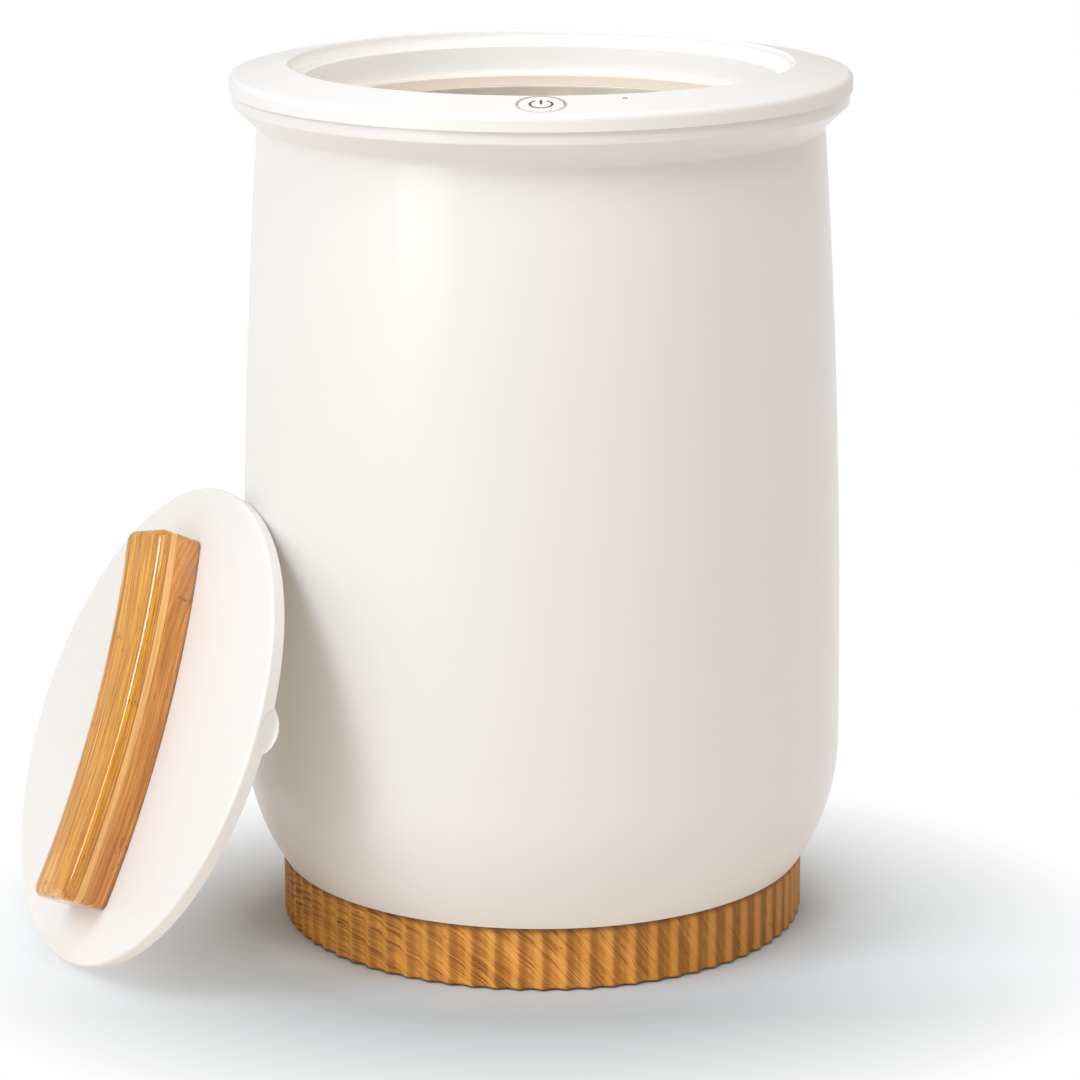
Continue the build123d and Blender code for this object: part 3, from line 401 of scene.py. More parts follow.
@dataclass(frozen=True)
class LaminatedBamboo(Finish):
    """Gloss-lacquered bamboo bar, glued up from strips and layers that run along it.

    Attributes:
        bench: matrix from the bar's own drawing to its place.
        bend: radius of the bar's middle line, which the strips follow, in metres.
        bend_middle: place of that bend's centre across the drawing, in metres.
        honey: colour of the top layer, linear.
        brown: colour of its streaks.
        peach: colour of the middle layer.
        umber: colour of the bottom layer.
        dark: colour of pores, knuckles and glue, and of the painted shade at the bar's foot.
        strip: width of a strip, in metres.
        joints: heights of the two joints between the layers, in metres.
        arch: places along the bar between which the bottom layer's grain rises, in metres.
        arch_rise: how far it rises, in metres.
        wander: how far the grain strays sideways, in metres.
        knuckle_step: distance between a strip's knuckles, in metres.
    """

    bench: Matrix
    bend: float = 0.3272
    bend_middle: float = -0.3183
    honey: Colour = (1.0, 0.49, 0.03)
    brown: Colour = (0.44, 0.145, 0.010)
    peach: Colour = (0.94, 0.52, 0.17)
    umber: Colour = (0.74, 0.32, 0.065)
    dark: Colour = (0.17, 0.055, 0.010)
    strip: float = 0.0082
    joints: Span = (LAYER_JOINTS[0] * MM, LAYER_JOINTS[1] * MM)
    arch: Span = (0.040, 0.099)
    arch_rise: float = 0.015
    wander: float = 0.0022
    knuckle_step: float = 0.131

    def drawing_place(self, sheet: NodeSheet) -> Socket:
        """Work out coordinates in the bar's own drawing.

        Args:
            sheet: the material's nodes.

        Returns:
            Coordinates across, along and up, in metres.
        """
        back = self.bench.inverted()
        inputs = {"Vector": sheet.place(), "Rotation": back.to_euler("XYZ"), "Location": back.translation}
        return sheet.add("Mapping", inputs).outputs[0]

    def paint(self, sheet: NodeSheet) -> None:
        """Paint the material.

        Args:
            sheet: the material's nodes.
        """
        place = self.drawing_place(sheet)
        x, y, z = sheet.split(place)
        x = sheet.minus(sheet.reach(sheet.minus(x, self.bend_middle), y), self.bend)
        low, high = self.joints
        top = sheet.remap(z, high - 0.00005, high + 0.00005)
        bottom = sheet.remap(z, low - 0.00005, low + 0.00005, 1.0, 0.0)
        count = sheet.times_plus(top, 0.4, sheet.math("DIVIDE", x, self.strip))
        share = sheet.math("FRACT", count)
        pick = sheet.add("TexWhiteNoise", {"W": sheet.math("FLOOR", count)}, noise_dimensions="1D")
        chance = sheet.times(pick.outputs["Value"], top)
        sweep = sheet.remap(y, *self.arch)
        arch = sheet.times(sheet.times(sweep, sweep), sheet.times(bottom, self.arch_rise))
        wander = sheet.noise(sheet.stretch(place, (1.0, 0.5, 1.0)), 26.0, 2.0)
        bent = sheet.plus(sheet.times_plus(wander, self.wander, x), sheet.times(chance, 0.05))
        lifted = sheet.plus(sheet.times_plus(wander, self.wander, z), arch)

        def grain(fine: float, long: float, detail: float) -> Socket:
            """Return noise drawn out along the bar: cells per metre across and along."""
            vector = sheet.unite(sheet.times(bent, fine), sheet.times(y, long), sheet.times(lifted, fine))
            return sheet.noise(vector, 1.0, detail)

        fibre = grain(1050.0, 24.0, 3.0)
        band = grain(330.0, 12.0, 2.0)
        streak = grain(640.0, 13.0, 2.0)
        pore = grain(1300.0, 190.0, 1.0)
        tone = sheet.blend(top, self.peach, self.honey)
        tone = sheet.blend(bottom, tone, self.umber)
        tone = sheet.blend(sheet.remap(chance, 0.1, 0.95, 0.0, 0.36), tone, self.brown)
        tone = sheet.blend(sheet.remap(band, 0.44, 0.64, 0.0, 0.36), tone, self.brown)
        calm = sheet.times_plus(sheet.larger(top, bottom), 0.75, 0.25)
        tone = sheet.blend(sheet.times(sheet.remap(fibre, 0.42, 0.62, 0.0, 0.8), calm), tone, self.brown)
        tone = sheet.blend(sheet.times(sheet.remap(streak, 0.52, 0.64, 0.0, 0.9), calm), tone, self.brown)
        steps = sheet.times_plus(chance, 7.3, sheet.math("DIVIDE", y, self.knuckle_step))
        away = sheet.apart(sheet.math("FRACT", steps), 0.5)
        ragged = sheet.times_plus(sheet.noise(place, 420.0, 3.0, 0.7), 0.10, away)
        knuckle = sheet.times(sheet.remap(ragged, 0.045, 0.060, 0.8, 0.0), sheet.remap(band, 0.48, 0.56))
        mark = sheet.larger(sheet.remap(pore, 0.69, 0.77, 0.0, 0.8), knuckle)
        tone = sheet.blend(sheet.times(mark, calm), tone, self.dark)
        seam = sheet.remap(sheet.apart(share, 0.5), 0.487, 0.498, 0.0, 0.32)
        glue = sheet.remap(sheet.apart(z, high), 0.0001, 0.00026, 0.85, 0.0)
        faint = sheet.remap(sheet.apart(z, low), 0.0001, 0.00022, 0.45, 0.0)
        # painted shade: the bar darkens at its foot, where it stands on the lid
        foot = sheet.remap(z, 0.0004, 0.0022, 0.6, 0.0)
        # joint holds the dark glue joints together with the painted shade at the foot
        joint = sheet.larger(sheet.larger(glue, faint), foot)
        tone = sheet.blend(sheet.larger(joint, sheet.times(seam, top)), tone, self.dark)
        sheet.set(Base_Color=tone, Roughness=sheet.remap(fibre, 0.3, 0.8, 0.30, 0.45))
        sheet.set(Specular_IOR_Level=0.1, Coat_Weight=1.0, Coat_Roughness=0.055, Coat_IOR=1.6)
        sheet.bump(fibre, 0.00004, 0.35)


@dataclass(frozen=True)
class SheetMetal(Finish):
    """Spun, drawn or plated metal.

    Attributes:
        tint: base colour, linear.
        rough: mean roughness.
        spun: whether turning marks run round the upright axis.
    """

    tint: Colour
    rough: float = 0.32
    spun: bool = False

    def paint(self, sheet: NodeSheet) -> None:
        """Paint the material.

        Args:
            sheet: the material's nodes.
        """
        place = sheet.place()
        if self.spun:
            x, y, z = sheet.split(place)
            marks = sheet.unite(sheet.times(sheet.reach(x, y), 9.0), 0.0, sheet.times(z, 9.0))
            marks = sheet.noise(marks, 190.0, 4.0)
        else:
            marks = sheet.noise(sheet.stretch(place, (1.0, 6.0, 1.0)), 380.0, 4.0)
        cloud = sheet.noise(place, 26.0, 3.0)
        low = [0.86 * part for part in self.tint]
        tone = sheet.blend(sheet.remap(cloud, 0.3, 0.7), self.tint, low)
        rough = sheet.remap(marks, 0.3, 0.7, self.rough * 0.8, self.rough * 1.3)
        sheet.set(Base_Color=tone, Roughness=rough, Metallic=1.0)
        sheet.bump(marks, 0.00002, 0.7)


@dataclass(frozen=True)
class SoftSheet(Finish):
    """Felt, foil or rubber, told apart by their surface.

    Attributes:
        tint: base colour, linear.
        weave: the surface's structure.
        rough: mean roughness.
        metal: how metallic it is.
    """

    tint: Colour
    weave: Weave
    rough: float = 0.8
    metal: float = 0.0

    def paint(self, sheet: NodeSheet) -> None:
        """Paint the material.

        Args:
            sheet: the material's nodes.
        """
        place = sheet.place()
        if self.weave is Weave.NEEDLED:
            height, depth = sheet.noise(place, 1400.0, 6.0, 0.7), 0.0004
        elif self.weave is Weave.CRINKLED:
            height, depth = sheet.noise(place, 120.0, 5.0, 0.6, 1.2), 0.0008
        else:
            wave = sheet.add("TexWave", {"Vector": place, "Scale": 260.0}, bands_direction="Z")
            height, depth = wave.outputs["Fac"], 0.0002
        low = [0.8 * part for part in self.tint]
        tone = sheet.blend(sheet.remap(height, 0.25, 0.75), low, self.tint)
        cloud = sheet.noise(place, 60.0)
        rough = sheet.remap(cloud, 0.3, 0.7, self.rough * 0.85, min(1.0, self.rough * 1.1))
        sheet.set(Base_Color=tone, Roughness=rough, Metallic=self.metal)
        sheet.bump(height, depth, 0.7)


@dataclass(frozen=True)
class ClearMoulding(Finish):
    """Translucent lens plastic.

    Attributes:
        tint: base colour, linear.
        rough: roughness.
        through: share of light that passes.
    """

    tint: Colour
    rough: float = 0.2
    through: float = 0.4

    def paint(self, sheet: NodeSheet) -> None:
        """Paint the material.

        Args:
            sheet: the material's nodes.
        """
        haze = sheet.noise(sheet.place(), 300.0, 3.0)
        low = [0.9 * part for part in self.tint]
        tone = sheet.blend(sheet.remap(haze, 0.3, 0.7), self.tint, low)
        rough = sheet.remap(haze, 0.3, 0.7, self.rough * 0.8, self.rough * 1.2)
        sheet.set(Base_Color=tone, Roughness=rough, IOR=PLASTIC_IOR, Transmission_Weight=self.through)


@dataclass(frozen=True)
class CircuitBoard(Finish):
    """Solder-masked board with tracks that show through the mask.

    Attributes:
        mask: colour of the mask, linear.
        track: colour of the mask over copper.
    """

    mask: Colour
    track: Colour

    def paint(self, sheet: NodeSheet) -> None:
        """Paint the material.

        Args:
            sheet: the material's nodes.
        """
        pattern = {"Scale": 160.0, "Mortar Size": 0.035, "Brick Width": 1.3, "Row Height": 0.42}
        colours = {"Color1": self.mask, "Color2": self.mask, "Mortar": self.track}
        brick = sheet.add("TexBrick", {"Vector": sheet.place(), **pattern, **colours}, offset=0.37)
        tracks = brick.outputs["Fac"]
        sheet.set(Base_Color=brick.outputs["Color"], Roughness=sheet.remap(tracks, 0.0, 1.0, 0.35, 0.22))
        sheet.bump(tracks, 0.00004)


def lid_bench(
    middle: Sequence[float] = (-207.982, -63.5866, 119.562),
    lean: float = 24.1,
    heading: float = -153.5,
    spin: float = 15.0,
) -> Matrix:
    """Work out where the lid leans.

    Args:
        middle: middle of the lid's face, in millimetres.
        lean: how far the face's outward direction rises above level, in degrees.
        heading: compass direction of that outward direction, in degrees.
        spin: how far the lid is turned in its own plane, in degrees.

    Returns:
        The matrix from the lid's flat drawing, face at z = 0, to its leaning place, in metres.
    """
    lean, heading, spin = (math.radians(angle) for angle in (lean, heading, spin))
    out = Vector((math.cos(lean) * math.cos(heading), math.cos(lean) * math.sin(heading), math.sin(lean)))
    right = -out.cross(Vector((0.0, 0.0, 1.0))).normalized()
    up = out.cross(right)
    tongue_way = right * math.cos(spin) + up * math.sin(spin)
    turn = Matrix((tongue_way, out.cross(tongue_way), out)).transposed().to_4x4()
    return Matrix.Translation(Vector(middle) * MM) @ turn


BENCH = lid_bench()
BAMBOO = ((0.90, 0.435, 0.088), (0.66, 0.275, 0.045), (0.26, 0.088, 0.013), (0.08, 0.028, 0.007))
FINISHES: dict[str, Finish] = {
    "shell_white": MouldedPlastic(
        "warm_white_gloss", (0.843, 0.832, 0.814), (0.836, 0.824, 0.805), coat=0.4
    ),
    "ring_white": MouldedPlastic(
        "ring_white_gloss", (0.872, 0.866, 0.862), (0.867, 0.86, 0.855), 0.42, coat=0.15
    ),
    "lid_white": MouldedPlastic("lid_white_gloss", (0.88, 0.866, 0.848), (0.873, 0.858, 0.838), coat=0.35),
    "bamboo": WrappedBamboo("fluted_bamboo", *BAMBOO),
    "handle_bamboo": LaminatedBamboo("bar_bamboo", BENCH),
    "collar_beige": MouldedPlastic(
        "collar_beige_matt", (0.85, 0.755, 0.665), (0.81, 0.715, 0.625), 0.5, grain=3e-5
    ),
    "silicone": MouldedPlastic("silicone_pale", (0.72, 0.70, 0.66), (0.68, 0.66, 0.62), 0.6, grain=2e-5),
    "foot_rubber": SoftSheet("foot_rubber_black", (0.03, 0.03, 0.03), Weave.RIBBED, 0.75),
    "bucket_metal": SheetMetal("spun_aluminium", (0.88, 0.82, 0.71), 0.40, True),
    "steel": SheetMetal("plated_steel", (0.66, 0.66, 0.68), 0.3),
    "heater_rubber": SoftSheet("heater_mat", (0.50, 0.12, 0.05), Weave.RIBBED, 0.6),
    "foil": SoftSheet("crinkled_foil", (0.82, 0.82, 0.84), Weave.CRINKLED, 0.22, 1.0),
    "felt": SoftSheet("needled_felt", (0.78, 0.77, 0.73), Weave.NEEDLED, 0.95),
    "inner_grey": MouldedPlastic("filled_grey", (0.30, 0.30, 0.29), (0.26, 0.26, 0.255), 0.55, grain=5e-5),
    "board_green": CircuitBoard("board_green", (0.015, 0.12, 0.045), (0.04, 0.20, 0.08)),
    "part_black": MouldedPlastic("case_black", (0.018, 0.018, 0.02), (0.024, 0.024, 0.026), 0.45, grain=3e-5),
    "part_blue": MouldedPlastic("case_blue", (0.02, 0.09, 0.33), (0.018, 0.08, 0.28), 0.35, grain=2e-5),
    "brass": SheetMetal("plain_brass", (0.80, 0.58, 0.25), 0.3),
    "clear_lens": ClearMoulding("clear_lens", (0.42, 0.40, 0.38), 0.2, 0.25),
    "ring_lens": ClearMoulding("ring_lens", (0.62, 0.54, 0.47), 0.3, 0.15),
    "symbol_grey": MouldedPlastic("symbol_ink", (0.055, 0.05, 0.05), (0.07, 0.065, 0.06), 0.45, grain=1e-5),
    "led_white": ClearMoulding("led_dome", (0.85, 0.80, 0.45), 0.25, 0.2),
    "cable_sheath": SoftSheet("cable_sheath", (0.02, 0.02, 0.022), Weave.RIBBED, 0.5),
}


@dataclass
class Finishes:
    """The materials made so far, by the record's material slots."""

    made: dict[str, bpy.types.Material] = field(default_factory=dict)

    def get(self, slot: str) -> bpy.types.Material:
        """Find a slot's material, which is made the first time it is asked for.

        Args:
            slot: the record's material slot.

        Returns:
            The material.
        """
        if slot not in self.made:
            self.made[slot] = FINISHES[slot].make()
        return self.made[slot]


# --- mesh helpers ------------------------------------------------------------------------------
@dataclass(frozen=True)
class Corner:
    """A corner of an outline, in millimetres.

    Attributes:
        r: distance from the axis.
        z: height.
        round: radius that it is rounded to.
    """

    r: float
    z: float
    round: float = 0.0


def rounded(corners: Sequence[Corner]) -> list[Point]:
    """Round the corners of a closed outline.

    Args:
        corners: the outline's corners in order.

    Returns:
        Points of the outline as (r, z), in millimetres.
    """
    points: list[Point] = []
    for index, corner in enumerate(corners):
        here = Vector((corner.r, corner.z))
        if corner.round <= 0.0:
            points.append((here.x, here.y))
            continue
        before, after = corners[index - 1], corners[(index + 1) % len(corners)]
        back = Vector((before.r, before.z)) - here
        ahead = Vector((after.r, after.z)) - here
        half = back.angle(ahead) / 2.0
        reach = min(corner.round / math.tan(half), SIDE_SHARE * back.length, SIDE_SHARE * ahead.length)
        radius = reach * math.tan(half)
        middle = here + (back.normalized() + ahead.normalized()).normalized() * (radius / math.sin(half))
        start = here + back.normalized() * reach - middle
        end = here + ahead.normalized() * reach - middle
        sweep = start.angle_signed(end)
        for step in range(ROUND_STEPS + 1):
            turned = start.copy()
            turned.rotate(Matrix.Rotation(-sweep * step / ROUND_STEPS, 2))
            points.append((middle.x + turned.x, middle.y + turned.y))
    return points


def divided(outline: Sequence[Point], step: float, beyond: float) -> list[Point]:
    """Put more points on the straight parts of an outline that lie far out.

    Args:
        outline: points as (r, z), in millimetres.
        step: largest distance between neighbours.
        beyond: radius from which a straight part is divided.

    Returns:
        The points with the new ones between them.
    """
    points = []
    for here, after in zip(outline, [*outline[1:], outline[0]]):
        points.append(here)
        if min(here[0], after[0]) < beyond:
            continue
        count = math.ceil(math.dist(here, after) / step)
        for part in range(1, count):
            points.append(tuple(one + (two - one) * part / count for one, two in zip(here, after)))
    return points


def even_turns(count: int) -> list[float]:
    """Return angles in radians, evenly spaced round a full turn."""
    return [2.0 * math.pi * step / count for step in range(count)]


def add_ring(built: bmesh.types.BMesh, points: Sequence[Place]) -> Ring:
    """Add points to a mesh under construction and return the corners made of them."""
    return [built.verts.new(point) for point in points]


def join_rings(built: bmesh.types.BMesh, one: Ring, two: Ring) -> None:
    """Join two closed rings of corners with a band of four-sided faces.

    Args:
        built: the mesh under construction.
        one: the first ring.
        two: the second ring, with as many corners.
    """
    for index in range(len(one)):
        after = (index + 1) % len(one)
        built.faces.new((one[index], two[index], two[after], one[after]))


def smooth_piece(name: str, mesh: bpy.types.Mesh) -> bpy.types.Object:
    """Put a mesh in the scene, smooth except at its sharp edges.

    Args:
        name: name of the object.
        mesh: the mesh.

    Returns:
        The new object.
    """
    mesh.polygons.foreach_set("use_smooth", [True] * len(mesh.polygons))
    mesh.set_sharp_from_angle(angle=SHARP_ANGLE)
    piece = bpy.data.objects.new(name, mesh)
    bpy.context.scene.collection.objects.link(piece)
    return piece


def built_piece(name: str, built: bmesh.types.BMesh) -> bpy.types.Object:
    """End the construction of a mesh and put it in the scene.

    Args:
        name: name of the object.
        built: the mesh under construction, which is given up.

    Returns:
        The new object.
    """
    mesh = bpy.data.meshes.new(name)
    built.to_mesh(mesh)
    built.free()
    return smooth_piece(name, mesh)


def lathe(
    name: str,
    outline: Sequence[Point],
    turns: Sequence[float],
    shape: Callable[[float, float, float], Point] = lambda turn, r, z: (r, z),
) -> bpy.types.Object:
    """Turn a closed outline about the Z axis.

    Args:
        name: name of the new piece.
        outline: points of the outline, in millimetres.
        turns: angles of the columns, in radians.
        shape: moves a point, given its angle, radius and height, to a new radius and height.

    Returns:
        The new object, in metres.
    """
    built = bmesh.new()
    columns = []
    for turn in turns:
        points = [shape(turn, r, z) for r, z in outline]
        points = [(r * MM * math.cos(turn), r * MM * math.sin(turn), z * MM) for r, z in points]
        columns.append(add_ring(built, points))
    for column, other in zip(columns, [*columns[1:], columns[0]]):
        join_rings(built, column, other)
    bmesh.ops.remove_doubles(built, verts=built.verts, dist=MERGE)
    bmesh.ops.recalc_face_normals(built, faces=built.faces)
    return built_piece(name, built)


def dress(piece: bpy.types.Object, finishes: Finishes, slot: str, body: Body, *nodes: str) -> None:
    """Give a new piece its finish, its body and the nodes that it stands for.

    Args:
        piece: the new piece.
        finishes: the part's finishes.
        slot: the record's material slot.
        body: the body that it rides on.
        nodes: CAD nodes that it replaces.
    """
    piece.data.materials.clear()
    piece.data.materials.append(finishes.get(slot))
    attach(piece, body.value)
    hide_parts(*nodes)
    log.info("%s rides on %s", piece.name, body.value)


# --- sub-assemblies ----------------------------------------------------------------------------
@dataclass
class ShellBody:
    """The white shell: foot, belly, neck and lip. Sizes in millimetres."""

    finishes: Finishes
    foot_radius: float = 139.3
    foot_height: float = 34.0
    belly_radius: float = 158.2
    belly_height: float = 96.0
    neck_radius: float = 146.2
    neck_height: float = 424.0
    neck_round: float = 5.0
    wall_steps: int = 60
    columns: int = 288
    lip_radius: float = 158.6
    lip_top: float = 442.0
    lip_edge: float = 6.5
    lip_round: float = 1.6
    rim_round: float = 0.5
    lip_slope: float = 1.2
    wall: float = 2.6
    flange_width: float = 12.6
    flange: float = 3.0
    cover_half: float = 17.0
    cover_low: float = 26.0
    cover_round_height: float = 92.0
    cover_steps: int = 32
    cover_depths: Span = (100.0, 200.0)

    def wall_radius(self, height: float) -> float:
        """Work out the bulging wall's outside radius.

        Args:
            height: the height that it is wanted at.

        Returns:
            The radius.
        """
        low = height < self.belly_height
        end_r = self.foot_radius if low else self.neck_radius
        end_z = self.foot_height if low else self.neck_height
        fall = self.belly_radius - end_r
        curve = (fall**2 + (end_z - self.belly_height) ** 2) / (2.0 * fall)
        return self.belly_radius - curve + math.sqrt(curve**2 - (height - self.belly_height) ** 2)

    def outline(self) -> list[Point]:
        """Draw the shell's wall.

        Returns:
            Its closed outline.
        """
        rise = self.neck_height - self.neck_round - self.foot_height
        heights = [self.foot_height + rise * step / self.wall_steps for step in range(self.wall_steps + 1)]
        outside = [Corner(self.wall_radius(z), z) for z in heights]
        inside = [Corner(self.wall_radius(z) - self.wall, z) for z in reversed(heights)]
        lip_bottom, lip_inner = self.lip_top - self.lip_edge, self.lip_radius - self.wall
        flange_low, flange_inner = self.lip_top - self.flange, self.lip_radius - self.flange_width
        edge = [
            Corner(self.neck_radius, self.neck_height, self.neck_round),
            Corner(self.lip_radius, lip_bottom, self.lip_round),
            Corner(self.lip_radius, self.lip_top, self.rim_round),
            Corner(flange_inner, self.lip_top),
            Corner(flange_inner, flange_low),
            Corner(lip_inner, flange_low),
            Corner(lip_inner, lip_bottom + self.lip_slope),
            Corner(self.neck_radius - self.wall, self.neck_height),
        ]
        return rounded([*outside, *edge, *inside])

    def notch(self) -> bpy.types.Object:
        """Make the round-topped block that the inlet's cover takes out of the shell's back.

        Returns:
            The block.
        """
        half = self.cover_half
        plan = [(-half, self.cover_low), (half, self.cover_low)]
        for turn in even_turns(2 * self.cover_steps)[: self.cover_steps + 1]:
            plan.append((half * math.cos(turn), self.cover_round_height + half * math.sin(turn)))
        built = bmesh.new()
        near, far = (add_ring(built, [(x * MM, y * MM, z * MM) for x, z in plan]) for y in self.cover_depths)
        built.faces.new(near)
        built.faces.new(list(reversed(far)))
        join_rings(built, near, far)
        bmesh.ops.recalc_face_normals(built, faces=built.faces)
        return built_piece("inlet_notch", built)

    def build(self) -> None:
        """Make the shell, with the notch in its back that the inlet's cover closes."""
        whole = lathe("shell_whole", self.outline(), even_turns(self.columns))
        block = self.notch()
        cut = whole.modifiers.new("notch", "BOOLEAN")
        cut.operation = "DIFFERENCE"
        cut.solver = "EXACT"
        cut.object = block
        mesh = bpy.data.meshes.new_from_object(whole.evaluated_get(bpy.context.evaluated_depsgraph_get()))
        for spare in (whole, block):
            bpy.data.objects.remove(spare)
        mesh.name = "shell_wall"
        dress(smooth_piece("shell_wall", mesh), self.finishes, "shell_white", Body.BUCKET, "outer_shell")


@dataclass
class BambooFoot:
    """The fluted bamboo ring under the shell. Sizes in millimetres."""

    finishes: Finishes
    crest: float = 139.1
    bore: float = 125.0
    low: float = 0.8
    top: float = 34.0
    flutes: int = FLUTES
    flute_columns: int = 16
    depth: float = 2.1
    fluted_width: float = 4.0
    top_bevel: Point = (0.4, 0.5)
    low_bevel: Point = (0.6, 0.7)
    wall_margin: float = 0.6
    wall_steps: int = 10
    groove_inner: float = 128.4
    groove_outer: float = 134.6
    groove_top: float = 3.0

    def fluted(self, turn: float, r: float, z: float) -> Point:
        """Move a point in by its flute's hollow, with each flute cut slightly differently.

        Args:
            turn: the point's angle, in radians.
            r: its radius.
            z: its height.

        Returns:
            Its new radius and height.
        """
        if r < self.crest - self.fluted_width:
            return r, z
        place = turn * self.flutes / (2.0 * math.pi)
        flute = int(place + 1e-6) % self.flutes
        cut = self.depth * (0.93 + 0.07 * math.sin(flute * 2.4))
        return r - cut * math.sin(math.pi * (place % 1.0)) ** 1.5, z

    def build(self) -> None:
        """Make the fluted ring."""
        start = self.top - self.wall_margin
        fall = self.top - self.low - 2.0 * self.wall_margin
        heights = [start - step * fall / self.wall_steps for step in range(1, self.wall_steps)]
        wall = [Corner(self.crest, height) for height in heights]
        outline = rounded([
            Corner(self.bore, self.top),
            Corner(self.crest - self.top_bevel[0], self.top),
            Corner(self.crest, self.top - self.top_bevel[1]),
            *wall,
            Corner(self.crest, self.low + self.low_bevel[1]),
            Corner(self.crest - self.low_bevel[0], self.low),
            Corner(self.groove_outer, self.low),
            Corner(self.groove_outer, self.groove_top),
            Corner(self.groove_inner, self.groove_top),
            Corner(self.groove_inner, self.low),
            Corner(self.bore, self.low),
        ])
        ring = lathe("bamboo_foot", outline, even_turns(self.flutes * self.flute_columns), self.fluted)
        dress(ring, self.finishes, "bamboo", Body.BUCKET, "bamboo_base")


@dataclass
class Lid:
    """The leaning lid with its tongues and bar. Sizes in millimetres, drawn flat, face at z = 0."""

    finishes: Finishes
    radius: float = 128.7
    back_radius: float = 127.4
    edge: float = 8.0
    face_round: float = 1.6
    rim_round: float = 0.5
    skin: float = 2.6
    skirt: float = 3.0
    tongue_drop: float = 5.5
    tongue_curve: float = 16.0
    scoop: float = 2.5
    scoop_half: float = 10.8
    scoop_middle: float = -7.6
    scoop_rise: float = 5.0
    side_reach: float = 1.2
    side_step: float = 0.2
    fine_half: float = 9.0
    fine_step: float = 0.25
    coarse_step: float = 1.5
    chord: float = 198.0
    bow: float = 14.4
    bow_chord: float = 192.0
    bar_width: float = 40.0
    bar_height: float = 24.5
    bar_end_x: float = -5.5
    bar_steps: int = 48
    bar_round: float = 4.6
    bar_bevel: float = 0.35
    bar_levels: tuple[float, ...] = (4.0, 9.0)
    bar_corner: float = 6.0
    arc_steps: int = 10
    bar_joints: Span = LAYER_JOINTS
    joint_half: float = 0.12
    joint_depth: float = 0.07

    def tongue_low(self, turn: float) -> float:
        """Work out how far the side reaches down, which is deeper at the two tongues.

        Args:
            turn: the angle, in radians.

        Returns:
            The height of the side's low edge.
        """
        across = self.back_radius * abs(math.sin(turn))
        if across >= self.tongue_curve:
            return -self.edge
        low = self.tongue_curve - self.tongue_drop - self.edge - math.sqrt(self.tongue_curve**2 - across**2)
        return min(-self.edge, low)

    def shaped(self, turn: float, r: float, z: float) -> Point:
        """Draw a point of the flat lid's side down to the tongues and press the scoops in.

        Args:
            turn: the point's angle, in radians.
            r: its radius.
            z: its height.

        Returns:
            Its new radius and height.
        """
        middle = -self.edge / 2.0
        if z < middle and r > self.back_radius - self.skirt - self.rim_round:
            share = (z - middle) / middle
            z = middle + share * (self.tongue_low(turn) - middle)
        if r > self.back_radius - self.side_reach:
            across = self.back_radius * math.sin(turn) / self.scoop_half
            down = (z - self.scoop_middle) / self.scoop_rise
            inside = 1.0 - across**2 - down**2
            if inside > 0.0:
                r -= self.scoop * inside**0.5
        return r, z

    def turns(self) -> list[float]:
        """Space the lid's columns, close together at the two tongues.

        Returns:
            Their angles, in radians.
        """
        fine = int(2.0 * self.fine_half / self.fine_step)
        coarse = int((180.0 - 2.0 * self.fine_half) / self.coarse_step)
        near = [self.fine_step * step - self.fine_half for step in range(fine + 1)]
        rest = [self.fine_half + self.coarse_step * step for step in range(1, coarse)]
        half = [math.radians(angle) for angle in (*near, *rest)]
        return sorted([*half, *(turn + math.pi for turn in half)])

    def shell(self) -> None:
        """Make the lid's moulding."""
        skirt_inner = self.back_radius - self.skirt
        outline = rounded([
            Corner(AXIS, 0.0),
            Corner(self.radius, 0.0, self.face_round),
            Corner(self.back_radius, -self.edge, self.rim_round),
            Corner(skirt_inner, -self.edge, self.rim_round),
            Corner(skirt_inner, -self.skin),
            Corner(AXIS, -self.skin),
        ])
        outline = divided(outline, self.side_step, self.back_radius - 0.01)
        lid = lathe("lid_moulding", outline, self.turns(), self.shaped)
        lid.data.transform(BENCH)
        dress(lid, self.finishes, "lid_white", Body.LID, "lid_shell")

    def mid_radius(self) -> float:
        """Return the radius of the bar's middle line."""
        return (self.bow_chord**2 / 4.0 + self.bow**2) / (2.0 * self.bow)

    def bar_plan(self) -> list[Edge]:
        """Draw the bar's outline as seen from above.

        Returns:
            Its points and outward directions, in order.
        """
        bend, half = self.mid_radius(), self.chord / 2.0
        centre = Vector((self.bar_end_x + self.bow - bend, 0.0))
        sides = []
        for radius, way in ((bend + self.bar_width / 2.0, 1.0), (bend - self.bar_width / 2.0, -1.0)):
            shares = [step / self.bar_steps for step in range(self.bar_steps + 1)]
            places = [way * half * (2.0 * share - 1.0) for share in shares]
            sides.append([centre + Vector((math.sqrt(radius**2 - y**2), y)) for y in places])
        outer, inner = sides
        corners = [outer[0], outer[-1], inner[0], inner[-1]]
        points = [*outer, *inner]
        plan = []
        for index, point in enumerate(points):
            if min((corner - point).length for corner in corners) > self.bar_corner * 1.02:
                way = (points[(index + 1) % len(points)] - points[index - 1]).normalized()
                plan.append((point, Vector((way.y, -way.x))))
        return self.round_corners(plan, corners, centre)

